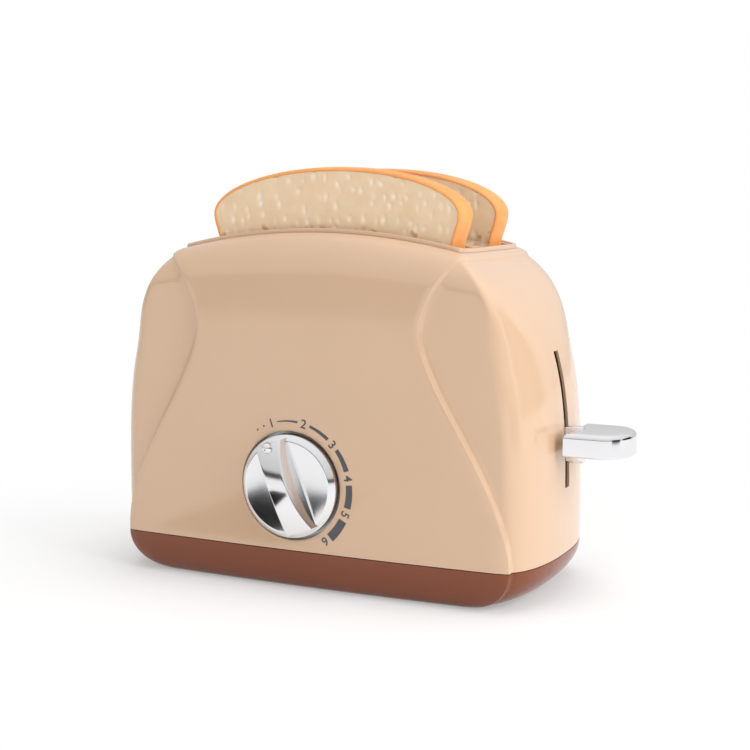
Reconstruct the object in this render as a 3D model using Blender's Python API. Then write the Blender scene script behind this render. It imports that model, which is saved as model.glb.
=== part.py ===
"""Toy pop-up toaster with two toy bread slices.

Metres, +Z up, +X along the front to the lever, the dial on the front at -Y.
The origin is the centre of the base's underside.
"""
import math

import bmesh
import bpy
from mathutils import Matrix, Vector

# Clearances and cutting allowance
GAP = 0.0003
RUNNING_GAP = 0.0004
OVERRUN = 0.002

# Facets round a small hole or pin, a boss, a screw head and a collar
PIN_SEGMENTS = 12
BOSS_SEGMENTS = 16
HEAD_SEGMENTS = 16
COLLAR_SEGMENTS = 20

# Housing: one moulded shell, widest at the parting line with the base
BODY_HALF_LENGTH = 0.0888
BODY_HALF_DEPTH = 0.0397
PARTING_HEIGHT = 0.0155
RIM_HEIGHT = 0.1330
RIM_HALF_LENGTH = 0.0589
RIM_HALF_DEPTH = 0.0312
WALL = 0.0020
ARCH_RADIUS = 0.250
FRONT_SHOULDER_HEIGHT = 0.0150
END_CURVE_POWER = 3
END_CURVE_HALF_LENGTH = 0.0470
PLAN_CURVE_POWERS = (5 / 2, 6)
END_BULGES = (0.0130, 0.0035)
PANEL_BOW_SHARE = 0.06
ARCH_START_SHARE = 0.40
SHOULDER_START_SHARE = 0.68
LEVEL_COUNT = 13
LEVEL_HEIGHT_SHARE = 0.6
INSIDE_SKIP_COUNT = 2

# Raised hourglass band round the middle of the housing
BAND_FOOT_HALF_WIDTH = 0.0790
BAND_WAIST_HALF_WIDTH = 0.0454
BAND_TOP_HALF_WIDTH = 0.0603
BAND_WAIST_HEIGHT = 0.0995
BAND_TOP_HEIGHT = 0.1325
BAND_STEP_RUN = 0.0008
BAND_RISE = 0.0020
BAND_TOP_RISE = 0.0010
BAND_FOOT_POWER = 3 / 2
BAND_TOP_POWER = 9 / 5
BAND_POINTS = 3
BAND_BULGE_SHARE = 0.5
EAR_POINTS = 7
EAR_BEND_REACH = 0.0300

# Crown plate over the shell's top opening, with two bread slots
CROWN_HALF_LENGTH = 0.0583
CROWN_HALF_DEPTH = 0.0303
CROWN_LIP_HEIGHT = 0.0015
CROWN_LIP_WIDTH = 0.0013
CROWN_PLUG_HALF_LENGTH = 0.0574
CROWN_PLUG_HALF_DEPTH = 0.0290
CROWN_THICKNESS = 0.0024
SLOT_HALF_LENGTH = 0.0562
SLOT_WIDTH = 0.0150
SLOT_PITCH = 0.0380
SLOT_CORNER = 0.0020
SLOT_SKIRT_WALL = 0.0008
SLOT_SKIRT_DEPTH = 0.0130

# Base tray
BASE_END_TUCK = 0.0200
BASE_FRONT_TUCK = 0.0070
BASE_FLOOR = 0.0022
BASE_LIP_HEIGHT = 0.0016
BASE_LIP_WALL = 0.0012
BASE_LEVELS = 3

# Base screws and the shell posts they enter
POST_X = 0.0560
POST_Y = 0.0290
POST_RADIUS = 0.0036
POST_TOP = 0.0340
POST_RIB_THICKNESS = 0.0016
WELL_RADIUS = 0.0032
WELL_DEPTH = 0.0060
WELL_WALL = 0.0014
SCREW_SHAFT_RADIUS = 0.0012
SCREW_HEAD_RADIUS = 0.0027
SCREW_HEAD_HEIGHT = 0.0018
SCREW_LENGTH = 0.0150

# Guide rods for the bread carriage
ROD_RADIUS = 0.0015
RIGHT_ROD_X = 0.0700
RIGHT_ROD_Y = 0.0140
LEFT_ROD_X = -0.0680
ROD_BOTTOM = 0.0060
ROD_TOP = 0.1070
ROD_BOSS_RADIUS = 0.0036
ROD_LOWER_BOSS_TOP = 0.0200
ROD_UPPER_BOSS_BOTTOM = 0.1010

# Bread carriage: platform, slider block, left collar and catch finger
PLATFORM_TOP = 0.0577
PLATFORM_THICKNESS = 0.0020
PLATFORM_LEFT = -0.0520
PLATFORM_HALF_DEPTH = 0.0266
PLATFORM_FLANGE_HEIGHT = 0.0040
PLATFORM_FLANGE_WALL = 0.0010
SLIDER_LEFT = 0.0620
SLIDER_RIGHT = 0.0780
SLIDER_HALF_DEPTH = 0.0190
SLIDER_BOTTOM = 0.0460
SLIDER_TOP = 0.0660
COLLAR_RADIUS = 0.0050
COLLAR_HEIGHT = 0.0140
FINGER_TIP_X = 0.0608
FINGER_TOP = 0.0507
FINGER_THICKNESS = 0.0025
FINGER_WIDTH = 0.0040
TRAVEL_UP = 0.0270
TRAVEL_DOWN = 0.0095

# Lever tab on the right end
LEVER_TAB_LEFT = 0.0910
LEVER_TAB_RIGHT = 0.1140
LEVER_TAB_HALF_WIDTH = 0.0135
LEVER_TAB_BOTTOM = 0.0538
LEVER_TAB_HEIGHT = 0.0091
LEVER_TAB_ROUND_LENGTH = 0.0120
LEVER_END_POINTS = 10
LEVER_END_POWER = 4 / 5
LEVER_NECK_HALF_WIDTH = 0.0020
LEVER_NECK_BOTTOM = 0.0498
LEVER_NECK_TOP = 0.0633
LEVER_EDGE_ROUND = 0.0007
LEVER_SLOT_BOTTOM = 0.0401
LEVER_SLOT_TOP = 0.0907
LEVER_SLOT_HALF_WIDTH = 0.0024
TONGUE_HALF_WIDTH = 0.0009
TONGUE_LENGTH = 0.0060
TONGUE_HALF_HEIGHT = 0.0040

# Lift spring between the slider and the ceiling
SPRING_RADIUS = 0.0034
SPRING_WIRE_RADIUS = 0.00045
SPRING_TURNS = 9
SPRING_POINTS_PER_TURN = 8
SPRING_ANCHOR_DROP = 0.00719
SPRING_PEG_RADIUS = 0.0022
SPRING_PEG_HEIGHT = 0.0030

# Bread slices
SLICE_CENTRE_X = 0.0040
SLICE_THICKNESS = 0.0125
SLICE_HALF_WIDTH = 0.0519
SLICE_SIDE_HALF_WIDTH = 0.0490
SLICE_FOOT_HALF_WIDTH = 0.0470
SLICE_HEIGHT = 0.1001
SLICE_DOME_HEIGHT = 0.0175
SLICE_NECK_HEIGHT = 0.0130
SLICE_FOOT_CORNER = 0.0060
SLICE_EDGE_ROUND = 0.0016
SLICE_DOME_POINTS = 12
SLICE_NECK_POINTS = 4
SLICE_CORNER_POINTS = 3

# Knob on the front panel
KNOB_X = -0.0055
KNOB_Z = 0.0400
KNOB_RADIUS = 0.0196
KNOB_HOLE_RADIUS = 0.0207
KNOB_FACE_RADIUS = 0.0174
KNOB_EDGE_PROUD = 0.0011
KNOB_FACE_PROUD = 0.0029
KNOB_GRIP_PROUD = 0.0097
KNOB_GRIP_END_RISE = 0.0022
KNOB_GRIP_FOOT_HALF_WIDTH = 0.0064
KNOB_GRIP_CREST_HALF_WIDTH = 0.0037
KNOB_POINTER_RADIUS = 0.0022
KNOB_POINTER_PLACE = 0.0160
KNOB_REST_ANGLE = math.radians(111.7)
KNOB_SEGMENTS = 36
KNOB_DOME_RINGS = 6
KNOB_POINTER_RINGS = 7
KNOB_BACK_CLEARANCE = 0.0004

# Clockwork timer behind the knob, from the front wall inwards
PLATE_THICKNESS = 0.0008
PLATE_LEFT = -0.0340
PLATE_RIGHT = 0.0450
PLATE_BOTTOM = 0.0185
PLATE_TOP = 0.0600
PLATE_CORNER = 0.0030
PLATE_PITCH = 0.0066
PILLAR_RADIUS = 0.0018
PILLAR_INSET = 0.0040
ARBOR_RADIUS = 0.0016
PIVOT_RADIUS = 0.0010
WHEEL_THICKNESS = 0.0016
WHEEL_MODULE = 0.0009
TOOTH_ADDENDUM_SHARE = 0.75
TOOTH_DEDENDUM_SHARE = 1.10
TOOTH_TIP_SHARE = 0.16
TOOTH_ROOT_SHARE = 0.34
TOOTH_BACKLASH = 0.00030
DRIVE_TEETH = 40
IDLER_TEETH = 32
PINION_TEETH = 12
ESCAPE_TEETH = 15
ESCAPE_RADIUS = 0.0080
ESCAPE_TOOTH_DEPTH = 0.0016
IDLER_DIRECTION = math.radians(0.0)
ESCAPE_DIRECTION = math.radians(-50.0)
PALLET_DIRECTION = math.radians(75.0)
PALLET_CLEARANCE = 0.0012
PALLET_SPAN = math.radians(50.0)
PALLET_THICKNESS = 0.0012
PALLET_PIVOT_DISTANCE = 0.0135
PALLET_POINTS = 8
MAINSPRING_INNER = 0.0028
MAINSPRING_OUTER = 0.0074
MAINSPRING_STRIP = 0.0003
MAINSPRING_WIDTH = 0.0018
MAINSPRING_TURNS = 4
MAINSPRING_POINTS_PER_TURN = 14

# Release cam and latch rocker behind the timer
CAM_HIGH_RADIUS = 0.0120
CAM_LOW_RADIUS = 0.0055
CAM_THICKNESS = 0.0015
CAM_POINTS = 20
CAM_RAMP_ANGLE = math.radians(31.0)
KNOB_TURN_BACK = math.radians(19.0)
KNOB_TURN_ON = math.radians(165.0)
ROCKER_PIVOT_X = 0.0560
ROCKER_PIVOT_Z = 0.0680
ROCKER_HUB_RADIUS = 0.0031
ROCKER_ARM_WIDTH = 0.0030
ROCKER_TIP_RADIUS = 0.0012
ROCKER_HOOK_TIP_X = 0.0603
ROCKER_HOOK_HEIGHT = 0.0030
ROCKER_HOOK_WIDTH = 0.0055
CAM_GAP = 0.0006
HOOK_GAP = 0.0005

# Finish of each material: base colour, roughness, metallic
FINISHES = {
    "beige_plastic": ((0.61, 0.42, 0.29), 0.16, 0.0),
    "brown_plastic": ((0.25, 0.075, 0.035), 0.30, 0.0),
    "chrome_plating": ((0.86, 0.86, 0.87), 0.05, 1.0),
    "bread_plastic": ((0.66, 0.50, 0.32), 0.50, 0.0),
    "steel": ((0.56, 0.57, 0.58), 0.28, 1.0),
    "white_nylon": ((0.80, 0.79, 0.74), 0.40, 0.0),
    "spring_steel": ((0.40, 0.42, 0.45), 0.30, 1.0),
}


# General helpers


def clear_scene():
    """Remove every object so that the model starts from nothing."""
    for old in list(bpy.data.objects):
        bpy.data.objects.remove(old, do_unlink=True)


def finish_material(name):
    """Return the material of one finish, made on first use."""
    material = bpy.data.materials.get(name)
    if material is None:
        colour, roughness, metallic = FINISHES[name]
        material = bpy.data.materials.new(name)
        material.use_nodes = True
        shader = material.node_tree.nodes["Principled BSDF"]
        shader.inputs["Base Color"].default_value = (*colour, 1.0)
        shader.inputs["Roughness"].default_value = roughness
        shader.inputs["Metallic"].default_value = metallic
    return material


def add_mesh(name, points, faces, finish, smooth_angle=35.0):
    """Make one named object from points and faces, with its faces turned outwards."""
    mesh = bpy.data.meshes.new(name)
    mesh.from_pydata([tuple(point) for point in points], [], faces)
    shape = bmesh.new()
    shape.from_mesh(mesh)
    bmesh.ops.recalc_face_normals(shape, faces=shape.faces)
    shape.to_mesh(mesh)
    shape.free()
    if finish:
        mesh.materials.append(finish_material(finish))
    mesh.shade_smooth()
    mesh.set_sharp_from_angle(angle=math.radians(smooth_angle))
    thing = bpy.data.objects.new(name, mesh)
    bpy.context.scene.collection.objects.link(thing)
    return thing


def make_cutter(thing):
    """Mark an object as a guide that is no part of the model."""
    thing.hide_render = True
    thing.hide_set(True)
    thing.display_type = "WIRE"
    return thing


def boolean(target, other, operation):
    """Add a Boolean with a guide object to the target."""
    modifier = target.modifiers.new(f"{operation.lower()}_{other.name}", "BOOLEAN")
    modifier.operation = operation
    modifier.object = make_cutter(other)
    modifier.solver = "EXACT"
    return target


def cut(target, other):
    """Cut one shape out of the target."""
    return boolean(target, other, "DIFFERENCE")


def join(target, other):
    """Fuse one shape to the target."""
    return boolean(target, other, "UNION")


def loft(name, rings, finish, ends="flat", smooth_angle=35.0):
    """Skin rings of equal length, with flat or arched ends, or joined end to end."""
    count = len(rings[0])
    points = [point for ring in rings for point in ring]
    faces = []
    spans = len(rings) if ends == "joined" else len(rings) - 1
    for level in range(spans):
        low = level * count
        high = ((level + 1) % len(rings)) * count
        for step in range(count):
            after = (step + 1) % count
            faces.append((low + step, low + after, high + after, high + step))
    last = (len(rings) - 1) * count
    if ends == "flat":
        faces += [tuple(range(count)), tuple(range(last, last + count))]
    if ends == "arched":
        faces += arched_cap(count, 0) + arched_cap(count, last)
    return add_mesh(name, points, faces, finish, smooth_angle)


def arched_cap(count, first):
    """Return the faces that close a ring of the housing's plan from front to back."""
    faces = []
    half = count // 2
    for side in (0, half):
        for step in range(half // 2):
            near, far = side + step, side + half - step
            corners = (near, near + 1, far - 1, far)
            unique = dict.fromkeys(first + corner % count for corner in corners)
            faces.append(tuple(unique))
    return faces


def prism(name, outline, axis, low, high, finish=None, smooth_angle=35.0):
    """Extrude a flat outline along X, Y or Z between two places on that axis."""
    place = {
        "X": lambda a, b, depth: (depth, a, b),
        "Y": lambda a, b, depth: (a, depth, b),
        "Z": lambda a, b, depth: (a, b, depth),
    }[axis]
    rings = [[place(a, b, depth) for a, b in outline] for depth in (low, high)]
    return loft(name, rings, finish, smooth_angle=smooth_angle)


def block(name, low, high, finish=None):
    """Make a box between two corners."""
    outline = [(low[0], low[1]), (high[0], low[1]), (high[0], high[1]), (low[0], high[1])]
    return prism(name, outline, "Z", low[2], high[2], finish)


def circle(radius, segments, centre=(0.0, 0.0), start=0.0):
    """Return the points of a circle."""
    turns = [start + math.tau * step / segments for step in range(segments)]
    return [(centre[0] + radius * math.cos(turn), centre[1] + radius * math.sin(turn)) for turn in turns]


def rod(name, axis, centre, radius, low, high, finish=None, segments=HEAD_SEGMENTS):
    """Make a round bar along an axis."""
    return prism(name, circle(radius, segments, centre, math.pi / segments), axis, low, high, finish)


def arc(centre, radius, start, end, segments):
    """Return the points of an arc, both ends included."""
    turns = [start + (end - start) * step / segments for step in range(segments + 1)]
    return [(centre[0] + radius * math.cos(turn), centre[1] + radius * math.sin(turn)) for turn in turns]


def rounded_rectangle(low, high, corner, segments=4):
    """Return the outline of a rectangle with round corners."""
    quarter = math.pi / 2
    centres = [
        (high[0] - corner, high[1] - corner),
        (low[0] + corner, high[1] - corner),
        (low[0] + corner, low[1] + corner),
        (high[0] - corner, low[1] + corner),
    ]
    outline = []
    for index, centre in enumerate(centres):
        outline += arc(centre, corner, index * quarter, (index + 1) * quarter, segments)
    return outline


def turned(name, profile, centre, finish, segments=32, smooth_angle=35.0):
    """Turn a profile of radius and depth pairs about a Y axis through a point of the XZ plane."""
    rings = []
    for radius, depth in profile:
        rings.append([(x, depth, z) for x, z in circle(radius, segments, centre)])
    return loft(name, rings, finish, smooth_angle=smooth_angle)


def blend(share):
    """Return a smooth step from 0 to 1."""
    share = min(max(share, 0.0), 1.0)
    return share * share * (3 - 2 * share)


def mix(low, high, share):
    """Return the value that lies a share of the way from low to high."""
    return low + (high - low) * share


def curve_fall(share, power):
    """Return a curve that falls from 1 to 0 as the share goes from 0 to 1."""
    share = min(max(share, 0.0), 1.0)
    return (1 - share ** power) ** (1 / power)


def hang_on_axis(name, place, pieces, parent=None):
    """Parent pieces to an empty on their joint's axis, without moving their shapes."""
    axis = bpy.data.objects.new(name, None)
    bpy.context.scene.collection.objects.link(axis)
    axis.location = place
    if parent:
        axis.parent = parent
        axis.location = Vector(place) - parent.location
    for piece in pieces:
        thing = bpy.data.objects[piece]
        thing.data.transform(Matrix.Translation(-Vector(place)))
        thing.parent = axis
    return axis


def round_edges(thing, width, segments=2, angle=35.0):
    """Round the sharp edges of a finished shape."""
    bevel = thing.modifiers.new("edge_round", "BEVEL")
    bevel.width = width
    bevel.segments = segments
    bevel.limit_method = "ANGLE"
    bevel.angle_limit = math.radians(angle)
    return thing


# Housing surface


def climb_for_reach(reach):
    """Return the climb angle at which the housing's end has a given half length."""
    share = (reach - END_CURVE_HALF_LENGTH) / (BODY_HALF_LENGTH - END_CURVE_HALF_LENGTH)
    return math.acos(share ** (END_CURVE_POWER / 2))


def rim_climb():
    """Return the climb angle of the housing's top opening."""
    return climb_for_reach(RIM_HALF_LENGTH)


class Level:
    """One height of the housing: its plan size, its arch and its raised band."""

    def __init__(self, climb):
        length_share = math.cos(climb) ** (2 / END_CURVE_POWER)
        rise = math.sin(climb) ** (2 / END_CURVE_POWER) / math.sin(rim_climb()) ** (2 / END_CURVE_POWER)
        self.height = mix(PARTING_HEIGHT, RIM_HEIGHT, rise)
        self.half_length = mix(END_CURVE_HALF_LENGTH, BODY_HALF_LENGTH, length_share)
        shoulder = (self.height - RIM_HEIGHT + FRONT_SHOULDER_HEIGHT) / FRONT_SHOULDER_HEIGHT
        self.half_depth = mix(RIM_HALF_DEPTH, BODY_HALF_DEPTH, curve_fall(shoulder, 2))
        crown_share = blend((rise - SHOULDER_START_SHARE) / (1 - SHOULDER_START_SHARE))
        self.arch_share = blend((rise - ARCH_START_SHARE) / (1 - ARCH_START_SHARE))
        self.bulge = mix(*END_BULGES, crown_share)
        self.power = mix(*PLAN_CURVE_POWERS, crown_share)
        self.rise = mix(BAND_RISE, BAND_TOP_RISE, crown_share)
        self.band = band_half_width(self.height)

    def all_band(self):
        """Tell whether the raised band takes up the whole of this level."""
        return self.half_length < BAND_TOP_HALF_WIDTH + BAND_STEP_RUN

    def drop(self, x):
        """Return how far the arch falls at a place along the front."""
        return self.arch_share * (ARCH_RADIUS - math.sqrt(ARCH_RADIUS ** 2 - x ** 2))

    def depth_at(self, x):
        """Return the half depth of the plan at a place along the front."""
        flat = self.half_length - self.bulge
        bow = 1 - PANEL_BOW_SHARE * (x / BODY_HALF_LENGTH) ** 2
        return self.half_depth * curve_fall((x - flat) / self.bulge, self.power) * bow

    def quarter(self, band_inset):
        """Return a quarter of the plan from the middle of the back to the end."""
        edge = min(self.band - band_inset, self.half_length - self.bulge * BAND_BULGE_SHARE)
        if self.all_band():
            edge = self.half_length - self.bulge
        foot = edge + BAND_STEP_RUN
        band = [(edge * step / BAND_POINTS, True) for step in range(BAND_POINTS + 1)]
        band = [(x, self.depth_at(x), raised) for x, raised in band]
        return band + [(x, y, self.all_band()) for x, y in self.ear_points(foot)]

    def ear_points(self, foot):
        """Return plan points from the band's foot to the end, closer in the corner."""
        flat = self.half_length - self.bulge
        start = math.acos(min(1.0, (max(foot - flat, 0.0) / self.bulge) ** (self.power / 2)))
        fine = EAR_POINTS * EAR_POINTS
        dense = [(mix(foot, flat, step / fine), 0) for step in range(fine)] if foot < flat else []
        dense = [(x, self.depth_at(x)) for x, _ in dense]
        for step in range(fine + 1):
            turn = start * (1 - step / fine)
            x = flat + self.bulge * math.cos(turn) ** (2 / self.power)
            bow = 1 - PANEL_BOW_SHARE * (x / BODY_HALF_LENGTH) ** 2
            dense.append((x, self.half_depth * math.sin(turn) ** (2 / self.power) * bow))
        return spread_by_bend(dense, EAR_POINTS)

    def ring(self, band_inset=0.0):
        """Return the whole plan as points in space with their raised flags."""
        quarter = self.quarter(band_inset)
        back_right = quarter
        front_right = [(x, -y, raised) for x, y, raised in reversed(quarter[:-1])]
        right = back_right + front_right
        left = [(-x, y, raised) for x, y, raised in reversed(right[1:-1])]
        plan = right + left
        return [(Vector((x, y, self.height - self.drop(x))), raised) for x, y, raised in plan]


def spread_by_bend(dense, count):
    """Return count + 1 points of a fine polyline, closer together where it bends."""
    weights = [0.0]
    heading = None
    for before, after in zip(dense, dense[1:]):
        turn = math.atan2(after[1] - before[1], after[0] - before[0])
        bend = abs(turn - heading) if heading is not None else 0.0
        heading = turn
        weights.append(weights[-1] + math.dist(before, after) + EAR_BEND_REACH * bend)
    picked = []
    index = 0
    for step in range(count + 1):
        target = weights[-1] * step / count
        while index < len(weights) - 2 and weights[index + 1] < target:
            index += 1
        span = weights[index + 1] - weights[index]
        share = (target - weights[index]) / span if span else 0.0
        before, after = dense[index], dense[index + 1]
        picked.append((mix(before[0], after[0], share), mix(before[1], after[1], share)))
    return picked


def band_half_width(height):
    """Return the half width of the hourglass band at a height."""
    if height >= BAND_WAIST_HEIGHT:
        share = min((height - BAND_WAIST_HEIGHT) / (BAND_TOP_HEIGHT - BAND_WAIST_HEIGHT), 1.0)
        return mix(BAND_WAIST_HALF_WIDTH, BAND_TOP_HALF_WIDTH, share ** BAND_TOP_POWER)
    share = (BAND_WAIST_HEIGHT - height) / (BAND_WAIST_HEIGHT - PARTING_HEIGHT)
    swell = math.sin(math.pi / 2 * share) ** BAND_FOOT_POWER
    return mix(BAND_WAIST_HALF_WIDTH, BAND_FOOT_HALF_WIDTH, swell)


def level_climbs():
    """Return the climb angles of the housing's levels, spread over both angle and height."""
    climbs = [climb_at(step / LEVEL_COUNT) for step in range(LEVEL_COUNT)]
    for reach in (BAND_TOP_HALF_WIDTH + 2 * BAND_STEP_RUN, BAND_TOP_HALF_WIDTH):
        climbs.append(climb_for_reach(reach))
    return climbs + [rim_climb()]


def climb_at(target):
    """Return the climb angle where the mean of angle and height reaches a target share."""
    low = 0.0
    high = rim_climb()
    while high - low > math.radians(0.001):
        middle = (low + high) / 2
        height_share = (Level(middle).height - PARTING_HEIGHT) / (RIM_HEIGHT - PARTING_HEIGHT)
        if mix(middle / rim_climb(), height_share, LEVEL_HEIGHT_SHARE) < target:
            low = middle
        else:
            high = middle
    return low


def offset_ring(climb, offset, band_inset=0.0):
    """Return a level's ring moved along the surface's normals, with the band raised."""
    nudge = math.radians(0.2)
    lower_climb = max(climb - nudge, 0.0)
    upper_climb = min(climb + nudge, rim_climb())
    level = Level(climb)
    ring = level.ring(band_inset)
    lower = plain_ring(lower_climb, level, band_inset)
    upper = plain_ring(upper_climb, level, band_inset)
    moved = []
    for index, (point, raised) in enumerate(ring):
        along = ring[(index + 1) % len(ring)][0] - ring[index - 1][0]
        normal = (upper[index] - lower[index]).cross(along).normalized()
        moved.append(point + normal * (offset + (level.rise if raised else 0.0)))
    if climb == 0.0:
        for point in moved:
            point.z = PARTING_HEIGHT
    return moved


def plain_ring(climb, pattern, band_inset):
    """Return a nearby level's ring with the same split into band and ears."""
    level = Level(climb)
    level.band = pattern.band
    level.all_band = pattern.all_band
    return [point for point, _ in level.ring(band_inset)]


def crown_ring(half_length, half_depth, lift):
    """Return a ring of the rim's own plan, scaled, at a height above the rim."""
    level = Level(rim_climb())
    ring = []
    for point, _ in level.ring():
        x = point.x * half_length / RIM_HALF_LENGTH
        y = point.y * half_depth / RIM_HALF_DEPTH
        ring.append(Vector((x, y, crown_height(x) + lift)))
    return ring


def crown_height(x):
    """Return the height of the shell's arched top at a place along the front."""
    return RIM_HEIGHT + BAND_TOP_RISE - (ARCH_RADIUS - math.sqrt(ARCH_RADIUS ** 2 - x ** 2))


# Body shell


def shell_rings():
    """Return the rings of the shell's wall, outside up and inside down."""
    climbs = level_climbs()
    outside = [offset_ring(climb, 0.0) for climb in climbs]
    opening = (CROWN_PLUG_HALF_LENGTH + GAP, CROWN_PLUG_HALF_DEPTH + GAP)
    mouth = [crown_ring(*opening, 0.0), crown_ring(*opening, -WALL)]
    inner_climbs = climbs[:1:-INSIDE_SKIP_COUNT] + climbs[1::-1]
    inside = [offset_ring(climb, -WALL, band_inset=WALL) for climb in inner_climbs]
    return outside + mouth + inside


def shell_trim():
    """Return a closed guide that ends half way through the shell's wall."""
    rings = [offset_ring(climb, -WALL / 2, band_inset=WALL / 2) for climb in level_climbs()]
    below = [Vector((point.x, point.y, 0.0)) for point in rings[0]]
    return loft("shell_trim", [below] + rings, None, ends="arched")


def spring_outer_radius():
    """Return the radius of the boss that holds the spring's top."""
    return SPRING_RADIUS + 2 * SPRING_WIRE_RADIUS


def spring_anchor_height():
    """Return the height of the spring's top, below the housing over its outer side."""
    reach = RIGHT_ROD_X + spring_outer_radius()
    level = Level(climb_for_reach(reach))
    return level.height - level.drop(reach) - SPRING_ANCHOR_DROP


def post_places():
    """Return the places of the four posts with their names."""
    names = {-1: ("front_left", "front_right"), 1: ("rear_left", "rear_right")}
    return [
        (names[side][0 if hand < 0 else 1], hand * POST_X, side * POST_Y)
        for side in (-1, 1)
        for hand in (-1, 1)
    ]


def rod_places():
    """Return the places of the three guide rods with their names."""
    return [
        ("front_right", RIGHT_ROD_X, -RIGHT_ROD_Y),
        ("rear_right", RIGHT_ROD_X, RIGHT_ROD_Y),
        ("left", LEFT_ROD_X, 0.0),
    ]


def add_shell_bosses(shell, trim):
    """Fuse the screw posts and the upper rod bosses to the inside of the shell."""
    ceiling = RIM_HEIGHT
    for name, x, y in post_places():
        post_foot = WELL_DEPTH + WELL_WALL + GAP
        post = rod(f"post_{name}", "Z", (x, y), POST_RADIUS, post_foot, POST_TOP, segments=BOSS_SEGMENTS)
        half = POST_RIB_THICKNESS / 2
        wall_y = math.copysign(Level(0.0).depth_at(x) + BAND_RISE - WALL / 2, y)
        low = (x - half, min(y, wall_y), PARTING_HEIGHT + BASE_LIP_HEIGHT + WALL)
        high = (x + half, max(y, wall_y), POST_TOP - half)
        join(post, block(f"post_rib_{name}", low, high))
        join(shell, post)
        pilot = SCREW_SHAFT_RADIUS + GAP
        pilot_top = WELL_DEPTH + SCREW_LENGTH
        cut(shell, rod(f"pilot_{name}", "Z", (x, y), pilot, 0.0, pilot_top, segments=PIN_SEGMENTS))
    for name, x, y in rod_places():
        span = (ROD_UPPER_BOSS_BOTTOM, ceiling)
        boss = rod(f"rod_boss_{name}", "Z", (x, y), ROD_BOSS_RADIUS, *span, segments=BOSS_SEGMENTS)
        join(shell, boolean(boss, trim, "INTERSECT"))
        span = (0.0, ROD_TOP + GAP)
        cut(shell, rod(f"rod_socket_{name}", "Z", (x, y), ROD_RADIUS + GAP, *span, segments=PIN_SEGMENTS))
    add_spring_anchor(shell, trim, ceiling)


def add_spring_anchor(shell, trim, ceiling):
    """Fuse the boss that holds the top of the lift spring."""
    centre = (RIGHT_ROD_X, 0.0)
    anchor_bottom = spring_anchor_height() + GAP
    outer = spring_outer_radius()
    anchor = rod("spring_anchor", "Z", centre, outer, anchor_bottom, ceiling, segments=BOSS_SEGMENTS)
    join(shell, boolean(anchor, trim, "INTERSECT"))
    peg_bottom = anchor_bottom - SPRING_PEG_HEIGHT
    span = (peg_bottom, anchor_bottom + WALL)
    join(shell, rod("spring_peg", "Z", centre, SPRING_PEG_RADIUS, *span, segments=PIN_SEGMENTS))


def body_shell():
    """Build the housing with its band, bosses, lever slot and knob hole."""
    shell = loft("body_shell", shell_rings(), "beige_plastic", ends="joined", smooth_angle=25.0)
    add_shell_bosses(shell, shell_trim())
    half = LEVER_SLOT_HALF_WIDTH
    low = (RIM_HALF_LENGTH, -half, LEVER_SLOT_BOTTOM)
    high = (BODY_HALF_LENGTH + OVERRUN, half, LEVER_SLOT_TOP)
    cut(shell, block("lever_slot", low, high))
    front = -(BODY_HALF_DEPTH + BAND_RISE)
    span = (front - OVERRUN, front + WALL + OVERRUN)
    cut(shell, rod("knob_hole", "Y", (KNOB_X, KNOB_Z), KNOB_HOLE_RADIUS, *span, segments=KNOB_SEGMENTS))
    for name, x, z in timer_screw_places():
        span = (front_wall(x) + WALL / 2, timer_front() + OVERRUN)
        radius = SCREW_SHAFT_RADIUS + GAP
        cut(shell, rod(f"timer_hole_{name}", "Y", (x, z), radius, *span, segments=PIN_SEGMENTS))
    return shell


# Crown plate


def slot_outline(centre_y, growth):
    """Return the plan of one bread slot, grown by a wall."""
    half = SLOT_WIDTH / 2 + growth
    length = SLOT_HALF_LENGTH + growth
    return rounded_rectangle((-length, centre_y - half), (length, centre_y + half), SLOT_CORNER + growth, 3)


def crown_plate():
    """Build the arched plate with its raised lip, two slots and their skirts."""
    lip = (CROWN_HALF_LENGTH, CROWN_HALF_DEPTH)
    inner_lip = tuple(size - CROWN_LIP_WIDTH for size in lip)
    plug = (CROWN_PLUG_HALF_LENGTH, CROWN_PLUG_HALF_DEPTH)
    edge = CROWN_LIP_WIDTH / 3
    rings = [
        crown_ring(*plug, -CROWN_THICKNESS),
        crown_ring(*plug, GAP),
        crown_ring(*lip, GAP),
        crown_ring(*lip, CROWN_LIP_HEIGHT - edge),
        crown_ring(*(size - edge for size in lip), CROWN_LIP_HEIGHT),
        crown_ring(*(size + edge for size in inner_lip), CROWN_LIP_HEIGHT),
        crown_ring(*inner_lip, CROWN_LIP_HEIGHT / 2),
    ]
    plate = loft("crown_plate", rings, "beige_plastic", ends="arched", smooth_angle=25.0)
    for name, side in (("front", -1), ("rear", 1)):
        centre = side * SLOT_PITCH / 2
        join(plate, slot_skirt(name, centre))
        outline = slot_outline(centre, 0.0)
        bottom = RIM_HEIGHT - SLOT_SKIRT_DEPTH - 2 * OVERRUN
        cut(plate, prism(f"bread_slot_{name}", outline, "Z", bottom, RIM_HEIGHT + 2 * OVERRUN))
    return plate


def slot_skirt(name, centre):
    """Return the wall that hangs round one slot, trimmed half way through the arched plate."""
    outline = slot_outline(centre, SLOT_SKIRT_WALL)
    bottom = RIM_HEIGHT - SLOT_SKIRT_DEPTH
    skirt = prism(f"slot_skirt_{name}", outline, "Z", bottom, RIM_HEIGHT + OVERRUN)
    lifts = (-SLOT_SKIRT_DEPTH - OVERRUN, -CROWN_THICKNESS / 2)
    under = [crown_ring(CROWN_HALF_LENGTH, CROWN_HALF_DEPTH, lift) for lift in lifts]
    return boolean(skirt, loft(f"under_plate_{name}", under, None, ends="arched"), "INTERSECT")


# Base tray


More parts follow.
